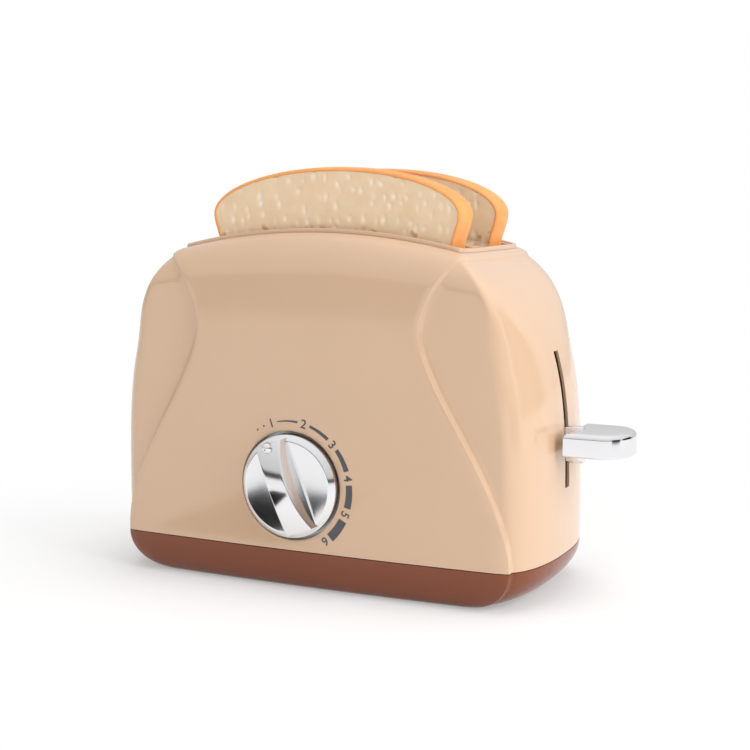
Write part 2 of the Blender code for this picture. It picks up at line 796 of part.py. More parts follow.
def base_ring(height, inset, floor, top):
    """Return a ring of the tray's outer or inner wall, which tucks in towards the bottom."""
    pattern = offset_ring(0.0, -inset, inset)
    rise_share = curve_fall(1 - (height - floor) / (top - floor), 2)
    longest = max(point.x for point in pattern)
    deepest = max(point.y for point in pattern)
    x_share = 1 - (1 - rise_share) * BASE_END_TUCK / longest
    y_share = 1 - (1 - rise_share) * BASE_FRONT_TUCK / deepest
    return [Vector((point.x * x_share, point.y * y_share, height)) for point in pattern]


def base_tray():
    """Build the tray with its locating lip, rod sockets and screw wells."""
    top = PARTING_HEIGHT - GAP
    turns = [math.pi / 2 * step / BASE_LEVELS for step in range(BASE_LEVELS + 1)]
    heights = [top * (1 - math.cos(turn)) for turn in turns]
    outside = [base_ring(height, 0.0, 0.0, top) for height in heights]
    lip_outer = WALL + GAP
    lip_top = top + BASE_LIP_HEIGHT
    lip_rings = [
        place_ring(offset_ring(0.0, -lip_outer, lip_outer), top),
        place_ring(offset_ring(0.0, -lip_outer, lip_outer), lip_top),
        place_ring(offset_ring(0.0, -lip_outer - BASE_LIP_WALL, lip_outer + BASE_LIP_WALL), lip_top),
    ]
    inset = lip_outer + BASE_LIP_WALL
    inside_heights = [mix(BASE_FLOOR, top, height / top) for height in reversed(heights)]
    inside = [base_ring(height, inset, BASE_FLOOR, top) for height in inside_heights]
    tray = loft("base_tray", outside + lip_rings + inside, "brown_plastic", smooth_angle=25.0)
    add_tray_bosses(tray)
    return tray


def place_ring(ring, height):
    """Return a ring laid at a height."""
    return [Vector((point.x, point.y, height)) for point in ring]


def add_tray_bosses(tray):
    """Fuse the screw wells and the lower rod sockets to the tray, and open them."""
    floor = BASE_FLOOR / 2
    for name, x, y in rod_places():
        boss = (ROD_BOSS_RADIUS, floor, ROD_LOWER_BOSS_TOP)
        socket = (ROD_RADIUS + GAP, ROD_BOTTOM - GAP, RIM_HEIGHT)
        join(tray, rod(f"lower_boss_{name}", "Z", (x, y), *boss, segments=BOSS_SEGMENTS))
        cut(tray, rod(f"lower_socket_{name}", "Z", (x, y), *socket, segments=PIN_SEGMENTS))
    for name, x, y in post_places():
        well = (WELL_RADIUS + WELL_WALL, floor, WELL_DEPTH + WELL_WALL)
        bore = (WELL_RADIUS, -OVERRUN, WELL_DEPTH)
        hole = (SCREW_SHAFT_RADIUS + GAP, 0.0, WELL_DEPTH + WELL_WALL + OVERRUN)
        join(tray, rod(f"well_{name}", "Z", (x, y), *well, segments=HEAD_SEGMENTS))
        cut(tray, rod(f"well_bore_{name}", "Z", (x, y), *bore, segments=HEAD_SEGMENTS))
        cut(tray, rod(f"well_hole_{name}", "Z", (x, y), *hole, segments=PIN_SEGMENTS))


def screw(name, axis, centre, head_face, direction, length):
    """Build a screw whose head bears on a face and whose shaft runs in one direction."""
    head_end = head_face - direction * SCREW_HEAD_HEIGHT
    shaft_end = head_face + direction * length
    overlap = direction * SCREW_HEAD_HEIGHT / 2
    low, high = sorted((head_face - overlap, shaft_end))
    shaft = rod(f"{name}_shaft", axis, centre, SCREW_SHAFT_RADIUS, low, high, segments=PIN_SEGMENTS)
    low, high = sorted((head_face, head_end))
    head = rod(name, axis, centre, SCREW_HEAD_RADIUS, low, high, "steel", segments=HEAD_SEGMENTS)
    join(head, shaft)
    return cut(head, cross_recess(name, axis, centre, head_end, direction))


def cross_recess(name, axis, centre, face, direction):
    """Return the cross-shaped driver recess of a screw head."""
    arm = SCREW_HEAD_RADIUS * 3 / 5
    half = SCREW_HEAD_RADIUS / 7
    depth = SCREW_HEAD_HEIGHT / 2
    outline = [
        (arm, -half), (arm, half), (half, half), (half, arm),
        (-half, arm), (-half, half), (-arm, half), (-arm, -half),
        (-half, -half), (-half, -arm), (half, -arm), (half, -half),
    ]
    outline = [(centre[0] + a, centre[1] + b) for a, b in outline]
    low, high = sorted((face - direction * OVERRUN, face + direction * depth))
    return prism(f"{name}_recess", outline, axis, low, high)


def base_screws():
    """Drive one screw up each well into its post."""
    for name, x, y in post_places():
        screw(f"base_screw_{name}", "Z", (x, y), WELL_DEPTH - GAP, 1, SCREW_LENGTH - GAP)


def guide_rods():
    """Stand the three steel rods between the tray and the ceiling."""
    for name, x, y in rod_places():
        size = (ROD_RADIUS, ROD_BOTTOM, ROD_TOP)
        rod(f"guide_rod_{name}", "Z", (x, y), *size, "steel", segments=BOSS_SEGMENTS)


# Bread carriage and lever


def bread_carriage():
    """Build the platform, its flanges, the slider block, the collar and the catch finger."""
    bottom = PLATFORM_TOP - PLATFORM_THICKNESS
    half = PLATFORM_HALF_DEPTH
    low = (PLATFORM_LEFT, -half, bottom)
    platform = block("bread_carriage", low, (SLIDER_LEFT + OVERRUN, half, PLATFORM_TOP), "brown_plastic")
    for index, y in enumerate(flange_places()):
        low = (PLATFORM_LEFT, y, bottom + PLATFORM_THICKNESS / 2)
        right = SLICE_CENTRE_X + SLICE_HALF_WIDTH
        high = (right, y + PLATFORM_FLANGE_WALL, PLATFORM_TOP + PLATFORM_FLANGE_HEIGHT)
        join(platform, block(f"flange_{index}", low, high))
    slider = block(
        "slider",
        (SLIDER_LEFT, -SLIDER_HALF_DEPTH, SLIDER_BOTTOM),
        (SLIDER_RIGHT, SLIDER_HALF_DEPTH, SLIDER_TOP),
    )
    join(platform, slider)
    join(platform, lever_tongue())
    join(platform, collar_arm())
    join(platform, catch_finger())
    for name, x, y in rod_places():
        bore = (ROD_RADIUS + GAP, 0.0, RIM_HEIGHT)
        cut(platform, rod(f"rod_bore_{name}", "Z", (x, y), *bore, segments=BOSS_SEGMENTS))
    return platform


def flange_places():
    """Return the low Y of each flange beside the two slices."""
    inner = SLOT_PITCH / 2 - SLOT_WIDTH / 2
    outer = PLATFORM_HALF_DEPTH
    wall = PLATFORM_FLANGE_WALL
    return (-outer, -inner - wall, inner, outer - wall)


def lever_tongue():
    """Return the tongue that the lever's neck is pushed onto."""
    middle = (LEVER_NECK_BOTTOM + LEVER_NECK_TOP) / 2
    low = (SLIDER_RIGHT - OVERRUN, -TONGUE_HALF_WIDTH, middle - TONGUE_HALF_HEIGHT)
    high = (SLIDER_RIGHT + TONGUE_LENGTH, TONGUE_HALF_WIDTH, middle + TONGUE_HALF_HEIGHT)
    return block("lever_tongue", low, high)


def collar_arm():
    """Return the arm and collar that run on the left rod."""
    low_z = PLATFORM_TOP - PLATFORM_THICKNESS
    size = (COLLAR_RADIUS, low_z, low_z + COLLAR_HEIGHT)
    collar = rod("collar", "Z", (LEFT_ROD_X, 0.0), *size, segments=COLLAR_SEGMENTS)
    half = COLLAR_RADIUS * 3 / 5
    low = (LEFT_ROD_X, -half, low_z)
    high = (PLATFORM_LEFT + OVERRUN, half, low_z + COLLAR_HEIGHT / 2)
    return join(collar, block("collar_web", low, high))


def catch_finger():
    """Return the finger under which the timer's hook lets the carriage rise or holds it."""
    bottom = FINGER_TOP - FINGER_THICKNESS
    low = (FINGER_TIP_X, cam_front(), bottom)
    high = (FINGER_TIP_X + FINGER_WIDTH, -SLIDER_HALF_DEPTH + OVERRUN, FINGER_TOP)
    return block("catch_finger", low, high)


def lever_outline():
    """Return the plan of the tab: straight sides and a round end."""
    straight = LEVER_TAB_RIGHT - LEVER_TAB_ROUND_LENGTH
    half = LEVER_TAB_HALF_WIDTH
    outline = [(LEVER_TAB_LEFT, half), (LEVER_TAB_LEFT, -half)]
    for step in range(LEVER_END_POINTS + 1):
        turn = math.pi * step / LEVER_END_POINTS - math.pi / 2
        reach = LEVER_TAB_ROUND_LENGTH * max(math.cos(turn), 0.0) ** LEVER_END_POWER
        outline.append((straight + reach, half * math.sin(turn)))
    return outline


def lift_lever():
    """Build the plated tab and its neck with the socket for the carriage's tongue."""
    top = LEVER_TAB_BOTTOM + LEVER_TAB_HEIGHT
    tab = prism("lift_lever", lever_outline(), "Z", LEVER_TAB_BOTTOM, top, "chrome_plating")
    half = LEVER_NECK_HALF_WIDTH
    low = (SLIDER_RIGHT + GAP, -half, LEVER_NECK_BOTTOM)
    neck = block("lever_neck", low, (LEVER_TAB_LEFT + OVERRUN, half, LEVER_NECK_TOP))
    round_edges(tab, LEVER_EDGE_ROUND)
    join(tab, round_edges(neck, LEVER_EDGE_ROUND))
    middle = (LEVER_NECK_BOTTOM + LEVER_NECK_TOP) / 2
    socket_half = TONGUE_HALF_WIDTH + GAP
    low = (SLIDER_RIGHT - OVERRUN, -socket_half, middle - TONGUE_HALF_HEIGHT - GAP)
    high = (SLIDER_RIGHT + TONGUE_LENGTH + GAP, socket_half, middle + TONGUE_HALF_HEIGHT + GAP)
    return cut(tab, block("lever_socket", low, high))


def coil_points(centre, radius, bottom, top, turns, per_turn):
    """Return the points of a helix round a Z axis."""
    count = turns * per_turn
    points = []
    for step in range(count + 1):
        turn = math.tau * step / per_turn
        height = mix(bottom, top, step / count)
        points.append((centre[0] + radius * math.cos(turn), centre[1] + radius * math.sin(turn), height))
    return points


def least_gap(points, wire_radius, per_turn):
    """Return the least space between a coil's wire and its next turn."""
    pairs = zip(points, points[per_turn:])
    return min(math.dist(a, b) for a, b in pairs) - 2 * wire_radius


def lift_spring():
    """Wind the spring that pulls the carriage up."""
    bottom = SLIDER_TOP + GAP + SPRING_WIRE_RADIUS
    anchor_height = spring_anchor_height()
    top = anchor_height - SPRING_WIRE_RADIUS
    centre = (RIGHT_ROD_X, 0.0)
    points = coil_points(centre, SPRING_RADIUS, bottom, top, SPRING_TURNS, SPRING_POINTS_PER_TURN)
    gap = least_gap(points, SPRING_WIRE_RADIUS, SPRING_POINTS_PER_TURN)
    print(f"lift spring: top at {anchor_height * 1000:.2f} mm, least gap between turns {gap * 1000:.2f} mm")
    curve = bpy.data.curves.new("lift_spring", "CURVE")
    curve.dimensions = "3D"
    curve.bevel_depth = SPRING_WIRE_RADIUS
    curve.bevel_resolution = 1
    curve.use_fill_caps = True
    spline = curve.splines.new("POLY")
    spline.points.add(len(points) - 1)
    for knot, place in zip(spline.points, points):
        knot.co = (*place, 1.0)
    curve.materials.append(finish_material("spring_steel"))
    spring = bpy.data.objects.new("lift_spring", curve)
    bpy.context.scene.collection.objects.link(spring)
    return spring


# Bread slices


def slice_outline():
    """Return a slice's outline: a domed top, a neck, straight sides and a round foot."""
    widest = PLATFORM_TOP + GAP + SLICE_HEIGHT - SLICE_DOME_HEIGHT
    foot = PLATFORM_TOP + GAP
    half = []
    for step in range(SLICE_DOME_POINTS + 1):
        turn = math.pi / 2 * (1 - step / SLICE_DOME_POINTS)
        half.append((SLICE_HALF_WIDTH * math.cos(turn), widest + SLICE_DOME_HEIGHT * math.sin(turn)))
    for step in range(1, SLICE_NECK_POINTS + 1):
        share = step / SLICE_NECK_POINTS
        x = mix(SLICE_HALF_WIDTH, SLICE_SIDE_HALF_WIDTH, blend(share))
        half.append((x, widest - SLICE_NECK_HEIGHT * share))
    corner = (SLICE_FOOT_HALF_WIDTH - SLICE_FOOT_CORNER, foot + SLICE_FOOT_CORNER)
    half += arc(corner, SLICE_FOOT_CORNER, 0.0, -math.pi / 2, SLICE_CORNER_POINTS)
    right = [(SLICE_CENTRE_X + x, z) for x, z in half]
    left = [(SLICE_CENTRE_X - x, z) for x, z in reversed(half[1:])]
    return right + left


def bread_slices():
    """Stand one slice in each slot."""
    for name, side in (("front_slice", -1), ("rear_slice", 1)):
        centre = side * SLOT_PITCH / 2
        low, high = centre - SLICE_THICKNESS / 2, centre + SLICE_THICKNESS / 2
        bread = prism(name, slice_outline(), "Y", low, high, "bread_plastic", smooth_angle=50.0)
        round_edges(bread, SLICE_EDGE_ROUND, angle=60.0)


# Knob


def panel_face():
    """Return the Y of the front panel at the knob."""
    return -(BODY_HALF_DEPTH + BAND_RISE)


def front_wall(x):
    """Return the Y of the front wall's outer face low down, at a place along it."""
    return -(Level(0.0).depth_at(x) + BAND_RISE)


def timer_front():
    """Return the Y of the timer's front plate, just behind the bowed front wall."""
    return front_wall(PLATE_RIGHT) + WALL + RUNNING_GAP


def knob_back():
    """Return the Y of the knob's back face, clear of the timer."""
    return timer_front() - KNOB_BACK_CLEARANCE


def knob_disc_profile():
    """Return the profile of the knob's disc from its back to its face."""
    edge = panel_face() - KNOB_EDGE_PROUD
    face = panel_face() - KNOB_FACE_PROUD
    return [(KNOB_RADIUS, knob_back()), (KNOB_RADIUS, edge), (KNOB_FACE_RADIUS, face)]


def knob_dome():
    """Return the dome that the grip is shaped from."""
    crest = panel_face() - KNOB_GRIP_PROUD
    edge = panel_face() - KNOB_FACE_PROUD - KNOB_GRIP_END_RISE
    rise = edge - crest
    radius = KNOB_FACE_RADIUS + (KNOB_RADIUS - KNOB_FACE_RADIUS) / 2
    sphere = (radius ** 2 + rise ** 2) / (2 * rise)
    profile = [(radius, knob_back()), (radius, edge)]
    for step in range(1, KNOB_DOME_RINGS):
        reach = radius * (1 - step / KNOB_DOME_RINGS)
        profile.append((reach, crest + sphere - math.sqrt(sphere ** 2 - reach ** 2)))
    return turned("knob_dome", profile, (KNOB_X, KNOB_Z), None, segments=KNOB_SEGMENTS)


def grip_wedge():
    """Return the tapered bar that leaves the grip standing on the dome."""
    face = panel_face() - KNOB_FACE_PROUD
    crest = panel_face() - KNOB_GRIP_PROUD
    slope = (KNOB_GRIP_FOOT_HALF_WIDTH - KNOB_GRIP_CREST_HALF_WIDTH) / (face - crest)
    foot_half = KNOB_GRIP_FOOT_HALF_WIDTH + slope * OVERRUN
    crest_half = KNOB_GRIP_CREST_HALF_WIDTH - slope * OVERRUN / 2
    section = [
        (-foot_half, face + OVERRUN), (foot_half, face + OVERRUN),
        (crest_half, crest - OVERRUN / 2), (-crest_half, crest - OVERRUN / 2),
    ]
    along = Vector((math.cos(KNOB_REST_ANGLE), 0.0, math.sin(KNOB_REST_ANGLE)))
    across = Vector((-along.z, 0.0, along.x))
    centre = Vector((KNOB_X, 0.0, KNOB_Z))
    rings = []
    for reach in (-KNOB_RADIUS, KNOB_RADIUS):
        start = centre + along * reach
        rings.append([start + across * a + Vector((0.0, y, 0.0)) for a, y in section])
    return loft("grip_wedge", rings, None)


def pointer_ball():
    """Return the ball that marks the grip's pointing end."""
    place_x = KNOB_X + KNOB_POINTER_PLACE * math.cos(KNOB_REST_ANGLE)
    place_z = KNOB_Z + KNOB_POINTER_PLACE * math.sin(KNOB_REST_ANGLE)
    depth = panel_face() - KNOB_FACE_PROUD - KNOB_GRIP_END_RISE - KNOB_POINTER_RADIUS / 2
    profile = []
    for step in range(1, KNOB_POINTER_RINGS):
        turn = math.pi * step / KNOB_POINTER_RINGS
        profile.append((KNOB_POINTER_RADIUS * math.sin(turn), depth + KNOB_POINTER_RADIUS * math.cos(turn)))
    return turned("pointer_ball", profile, (place_x, place_z), None, segments=PIN_SEGMENTS)


def timer_knob():
    """Build the plated knob: a bevelled disc, a domed grip and its pointer ball."""
    centre = (KNOB_X, KNOB_Z)
    knob = turned("timer_knob", knob_disc_profile(), centre, "chrome_plating", segments=KNOB_SEGMENTS)
    join(knob, boolean(knob_dome(), grip_wedge(), "INTERSECT"))
    join(knob, pointer_ball())
    bore = (ARBOR_RADIUS + GAP, panel_face() - KNOB_FACE_PROUD, knob_back() + OVERRUN)
    return cut(knob, rod("knob_bore", "Y", centre, *bore, segments=BOSS_SEGMENTS))


# Clockwork timer


def plate_front(index):
    """Return the front Y of the timer's front plate (0) or back plate (1)."""
    return timer_front() + index * PLATE_PITCH


def plate_back(index):
    """Return the back Y of a timer plate."""
    return plate_front(index) + PLATE_THICKNESS


def cam_front():
    """Return the front Y of the release cam and the latch rocker."""
    return plate_back(1) + RUNNING_GAP


def cam_back():
    """Return the back Y of the release cam and the latch rocker."""
    return cam_front() + CAM_THICKNESS


def first_wheel_span():
    """Return the Y span of the wheels next to the front plate."""
    front = plate_back(0) + RUNNING_GAP
    return front, front + WHEEL_THICKNESS


def second_wheel_span():
    """Return the Y span of the wheels next to the back plate."""
    back = plate_front(1) - RUNNING_GAP
    return back - WHEEL_THICKNESS, back


def pitch_radius(teeth):
    """Return a gear's pitch radius."""
    return WHEEL_MODULE * teeth / 2


def idler_place():
    """Return the XZ place of the idler arbor."""
    reach = pitch_radius(DRIVE_TEETH) + pitch_radius(PINION_TEETH)
    return (KNOB_X + reach * math.cos(IDLER_DIRECTION), KNOB_Z + reach * math.sin(IDLER_DIRECTION))


def escape_place():
    """Return the XZ place of the escape arbor."""
    reach = pitch_radius(IDLER_TEETH) + pitch_radius(PINION_TEETH)
    x, z = idler_place()
    return (x + reach * math.cos(ESCAPE_DIRECTION), z + reach * math.sin(ESCAPE_DIRECTION))


def pallet_place():
    """Return the XZ place of the pallet's pin."""
    x, z = escape_place()
    reach = PALLET_PIVOT_DISTANCE
    return (x + reach * math.cos(PALLET_DIRECTION), z + reach * math.sin(PALLET_DIRECTION))


def pillar_places():
    """Return the XZ places of the back plate's pillars."""
    inset = PILLAR_INSET
    return [
        (PLATE_LEFT + inset, PLATE_BOTTOM + inset),
        (PLATE_RIGHT - inset, PLATE_TOP - inset),
    ]


def timer_screw_places():
    """Return the XZ places of the two screws that hold the timer to the front wall."""
    inset = PILLAR_INSET
    return [
        ("left", PLATE_LEFT + inset, PLATE_TOP - inset),
        ("right", PLATE_RIGHT - inset, PLATE_BOTTOM + inset),
    ]


def arbor_places():
    """Return the XZ places where arbors and pins pass through the plates."""
    return [(KNOB_X, KNOB_Z), idler_place(), escape_place(), pallet_place()]


def drill_plate(plate, name, low, high):
    """Drill the arbor and screw holes of one plate."""
    radii = (ARBOR_RADIUS, ARBOR_RADIUS, ARBOR_RADIUS, PIVOT_RADIUS)
    for index, (centre, radius) in enumerate(zip(arbor_places(), radii)):
        cut(plate, rod(f"{name}_pivot_{index}", "Y", centre, radius + GAP, low, high, segments=BOSS_SEGMENTS))
    for side, x, z in timer_screw_places():
        hole_radius = SCREW_SHAFT_RADIUS + GAP
        cut(plate, rod(f"{name}_screw_{side}", "Y", (x, z), hole_radius, low, high, segments=PIN_SEGMENTS))
    return plate


def timer_front_plate():
    """Build the plate that lies against the front wall."""
    outline = rounded_rectangle((PLATE_LEFT, PLATE_BOTTOM), (PLATE_RIGHT, PLATE_TOP), PLATE_CORNER)
    low, high = plate_front(0), plate_back(0)
    plate = prism("timer_front_plate", outline, "Y", low, high, "steel")
    return drill_plate(plate, "front_plate", low - OVERRUN, high + OVERRUN)


def timer_back_plate():
    """Build the back plate with its pillars and the tab for the latch rocker."""
    outline = rounded_rectangle((PLATE_LEFT, PLATE_BOTTOM), (PLATE_RIGHT, PLATE_TOP), PLATE_CORNER)
    low, high = plate_front(1), plate_back(1)
    plate = prism("timer_back_plate", outline, "Y", low, high, "steel")
    join(plate, prism("back_tab", back_tab_outline(), "Y", low, high))
    for index, centre in enumerate(pillar_places()):
        pillar = (PILLAR_RADIUS, plate_back(0) + GAP, high - GAP)
        join(plate, rod(f"pillar_{index}", "Y", centre, *pillar, segments=PIN_SEGMENTS))
    place = (ROCKER_PIVOT_X, ROCKER_PIVOT_Z)
    hole = (PIVOT_RADIUS + GAP, low - OVERRUN, high + OVERRUN)
    cut(plate, rod("rocker_pin_hole", "Y", place, *hole, segments=PIN_SEGMENTS))
    return drill_plate(plate, "back_plate", low - OVERRUN, high + OVERRUN)


def back_tab_outline():
    """Return the outline of the tab that reaches up to the rocker's pivot."""
    inner = PLATE_RIGHT - 4 * PLATE_CORNER
    middle = PLATE_BOTTOM + (PLATE_TOP - PLATE_BOTTOM) / 2
    tip = arc((ROCKER_PIVOT_X, ROCKER_PIVOT_Z), ROCKER_HUB_RADIUS, 0.0, math.pi * 3 / 4, 6)
    return [(inner, middle), (PLATE_RIGHT, middle)] + tip + [(inner, PLATE_TOP - PLATE_CORNER)]


def timer_screws():
    """Drive the two screws that hold the timer to the front wall."""
    for side, x, z in timer_screw_places():
        head_face = plate_back(1) + GAP
        tip = front_wall(x) + WALL / 2 + GAP
        screw(f"timer_screw_{side}", "Y", (x, z), head_face, -1, head_face - tip)


def tooth_turns(teeth):
    """Return the four turn offsets of a tooth with straight flanks: root, tip, tip, root."""
    pitch = math.tau / teeth
    slack = TOOTH_BACKLASH / (WHEEL_MODULE * teeth)
    tip = pitch * TOOTH_TIP_SHARE - slack
    root = pitch * TOOTH_ROOT_SHARE - slack
    return -root, -tip, tip, root


def gear_outline(teeth, centre, start):
    """Return the outline of a gear whose first tooth points along the start angle."""
    outer = pitch_radius(teeth) + WHEEL_MODULE * TOOTH_ADDENDUM_SHARE
    inner = pitch_radius(teeth) - WHEEL_MODULE * TOOTH_DEDENDUM_SHARE
    outline = []
    for tooth in range(teeth):
        middle = start + math.tau * tooth / teeth
        for offset, radius in zip(tooth_turns(teeth), (inner, outer, outer, inner)):
            turn = middle + offset
            outline.append((centre[0] + radius * math.cos(turn), centre[1] + radius * math.sin(turn)))
    return outline


def gear(name, teeth, centre, start, span, finish):
    """Build a gear on its arbor's hole."""
    wheel = prism(name, gear_outline(teeth, centre, start), "Y", *span, finish)
    return bore_wheel(wheel, centre, span)


def bore_wheel(wheel, centre, span):
    """Cut the hole for an arbor through a wheel or a cam."""
    low, high = span[0] - OVERRUN, span[1] + OVERRUN
    bore = rod(f"{wheel.name}_bore", "Y", centre, ARBOR_RADIUS + GAP, low, high, segments=BOSS_SEGMENTS)
    return cut(wheel, bore)


def wheels():
    """Build the drive, idler and escape wheels with their pinions."""
    first, second = first_wheel_span(), second_wheel_span()
    gear("drive_gear", DRIVE_TEETH, (KNOB_X, KNOB_Z), IDLER_DIRECTION, first, "white_nylon")
    half_tooth = math.pi / PINION_TEETH
    pinion_start = IDLER_DIRECTION + math.pi + half_tooth
    gear("idler_pinion", PINION_TEETH, idler_place(), pinion_start, first, "steel")
    gear("idler_gear", IDLER_TEETH, idler_place(), ESCAPE_DIRECTION, second, "white_nylon")
    escape_start = ESCAPE_DIRECTION + math.pi + half_tooth
    gear("escape_pinion", PINION_TEETH, escape_place(), escape_start, second, "steel")
    escape_wheel(first)


def escape_wheel(span):
    """Build the escape wheel with its pointed teeth."""
    centre = escape_place()
    outline = []
    for step in range(2 * ESCAPE_TEETH):
        turn = math.pi * step / ESCAPE_TEETH
        radius = ESCAPE_RADIUS if step % 2 else ESCAPE_RADIUS - ESCAPE_TOOTH_DEPTH
        outline.append((centre[0] + radius * math.cos(turn), centre[1] + radius * math.sin(turn)))
    wheel = prism("escape_wheel", outline, "Y", *span, "white_nylon")
    return bore_wheel(wheel, centre, span)


def arbors():
    """Build the knob's long arbor and the two short ones."""
    knob_end = panel_face() - KNOB_FACE_PROUD + GAP
    cam_end = cam_back() + ARBOR_RADIUS / 2
    rod("knob_arbor", "Y", (KNOB_X, KNOB_Z), ARBOR_RADIUS, knob_end, cam_end, "steel", segments=BOSS_SEGMENTS)
    for name, centre in (("idler_arbor", idler_place()), ("escape_arbor", escape_place())):
        start, end = plate_front(0) + GAP, plate_back(1)
        rod(name, "Y", centre, ARBOR_RADIUS, start, end, "steel", segments=BOSS_SEGMENTS)


def pallet():
    """Build the pallet that ticks over the escape wheel, and its pin."""
    centre = pallet_place()
    low, high = first_wheel_span()
    wheel = escape_place()
    inner = ESCAPE_RADIUS + PALLET_CLEARANCE
    outer = inner + PALLET_THICKNESS
    start, end = PALLET_DIRECTION - PALLET_SPAN, PALLET_DIRECTION + PALLET_SPAN
    outline = arc(wheel, outer, start, end, PALLET_POINTS) + arc(wheel, inner, end, start, PALLET_POINTS)
    anchor = prism("pallet", outline, "Y", low, high, "brown_plastic")
    hub_radius = PALLET_PIVOT_DISTANCE - inner - PALLET_THICKNESS / 2
    join(anchor, rod("pallet_hub", "Y", centre, hub_radius, low, high, segments=BOSS_SEGMENTS))
    bore = (PIVOT_RADIUS + GAP, low - OVERRUN, high + OVERRUN)
    cut(anchor, rod("pallet_bore", "Y", centre, *bore, segments=PIN_SEGMENTS))
    pin = (PIVOT_RADIUS, plate_front(0) + GAP, plate_back(1))
    rod("pallet_pin", "Y", centre, *pin, "steel", segments=PIN_SEGMENTS)


def mainspring():
    """Build the spiral strip that drives the timer."""
    count = MAINSPRING_TURNS * MAINSPRING_POINTS_PER_TURN
    outer, inner = [], []
    for step in range(count + 1):
        turn = math.tau * step / MAINSPRING_POINTS_PER_TURN
        radius = mix(MAINSPRING_INNER, MAINSPRING_OUTER, step / count)
        for side, reach in ((outer, radius + MAINSPRING_STRIP / 2), (inner, radius - MAINSPRING_STRIP / 2)):
            side.append((KNOB_X + reach * math.cos(turn), KNOB_Z + reach * math.sin(turn)))
    back = plate_front(1) - RUNNING_GAP
    outline = outer + list(reversed(inner))
    return prism("mainspring", outline, "Y", back - MAINSPRING_WIDTH, back, "spring_steel")


# Release cam and latch rocker


def cam_radius(turn):
    """Return the cam's radius at an angle of its own, measured from straight up at rest."""
    low_turn, high_turn = -KNOB_TURN_BACK, KNOB_TURN_ON
    span = high_turn - low_turn
    if turn <= high_turn:
        return mix(CAM_HIGH_RADIUS, CAM_LOW_RADIUS, (turn - low_turn) / span)
    ramp = (turn - (low_turn + math.tau - CAM_RAMP_ANGLE)) / CAM_RAMP_ANGLE
    return mix(CAM_LOW_RADIUS, CAM_HIGH_RADIUS, max(ramp, 0.0))


def release_cam():
    """Build the spiral cam on the knob's arbor, behind the back plate."""
    centre = (KNOB_X, KNOB_Z)
    outline = []
    for step in range(2 * CAM_POINTS):
        turn = -KNOB_TURN_BACK + math.tau * step / (2 * CAM_POINTS)
        radius = cam_radius(turn)
        place = math.pi / 2 + turn
        outline.append((centre[0] + radius * math.cos(place), centre[1] + radius * math.sin(place)))
    cam = prism("release_cam", outline, "Y", cam_front(), cam_back(), "white_nylon", smooth_angle=25.0)
    return bore_wheel(cam, centre, (cam_front(), cam_back()))


def latch_rocker():
    """Build the rocker whose long arm rides on the cam and whose hook holds the carriage."""
    pivot = (ROCKER_PIVOT_X, ROCKER_PIVOT_Z)
    rocker = prism("latch_rocker", rocker_outline(), "Y", cam_front(), cam_back(), "steel")
    low, high = cam_front() - OVERRUN, cam_back() + OVERRUN
    cut(rocker, rod("rocker_bore", "Y", pivot, PIVOT_RADIUS + GAP, low, high, segments=PIN_SEGMENTS))
    pin = (PIVOT_RADIUS, plate_front(1), cam_back() + GAP)
    rod("rocker_pin", "Y", pivot, *pin, "steel", segments=PIN_SEGMENTS)
    return rocker


def rocker_outline():
    """Return the rocker's outline: the cam arm, the hub, the lower arm and the hook."""
    tip_x = KNOB_X
    tip_z = KNOB_Z + cam_radius(0.0) + CAM_GAP + ROCKER_TIP_RADIUS
    pivot_x, pivot_z = ROCKER_PIVOT_X, ROCKER_PIVOT_Z
    half = ROCKER_ARM_WIDTH / 2
    hook_bottom = FINGER_TOP - TRAVEL_DOWN + HOOK_GAP
    hook_top = hook_bottom + ROCKER_HOOK_HEIGHT
    tip = arc((tip_x, tip_z), ROCKER_TIP_RADIUS, math.pi * 3 / 5, math.pi * 8 / 5, 6)
    hub = arc((pivot_x, pivot_z), ROCKER_HUB_RADIUS, 0.0, math.pi * 3 / 5, 6)
    hook_left = ROCKER_HOOK_TIP_X - ROCKER_HOOK_WIDTH
    lower = [
        (pivot_x - ROCKER_HUB_RADIUS, pivot_z - ROCKER_HUB_RADIUS),
        (hook_left, hook_bottom),
        (ROCKER_HOOK_TIP_X, hook_bottom),
        (ROCKER_HOOK_TIP_X, hook_top - half),
        (hook_left + 2 * half, hook_top),
    ]
    return tip + lower + hub


def hang_moving_pieces():
    """Give each moving body an empty on its joint's axis."""
    place = (RIGHT_ROD_X, 0.0, PLATFORM_TOP)
    carriage = hang_on_axis("carriage_slide", place, ("bread_carriage", "lift_lever"))
    for name, side in (("front_slice", -1), ("rear_slice", 1)):
        foot = (SLICE_CENTRE_X, side * SLOT_PITCH / 2, PLATFORM_TOP + GAP)
        hang_on_axis(f"{name}_slide", foot, (name,), carriage)
    turning = {
        "knob_axis": ((KNOB_X, KNOB_Z), ("timer_knob", "knob_arbor", "drive_gear", "release_cam")),
        "idler_axis": (idler_place(), ("idler_arbor", "idler_pinion", "idler_gear")),
        "escape_axis": (escape_place(), ("escape_arbor", "escape_pinion", "escape_wheel")),
        "pallet_axis": (pallet_place(), ("pallet",)),
        "rocker_axis": ((ROCKER_PIVOT_X, ROCKER_PIVOT_Z), ("latch_rocker",)),
    }
    for name, ((x, z), pieces) in turning.items():
        hang_on_axis(name, (x, timer_front(), z), pieces)


def build_toaster():
    """Build every piece of the toaster."""
    clear_scene()
    body_shell()
    crown_plate()
    base_tray()
    base_screws()
    guide_rods()
    bread_carriage()
    lift_lever()
    lift_spring()
    bread_slices()
    timer_knob()
    arbors()
    timer_front_plate()
    timer_back_plate()
    timer_screws()
    wheels()
    pallet()
    mainspring()
    release_cam()
    latch_rocker()
    hang_moving_pieces()


build_toaster()
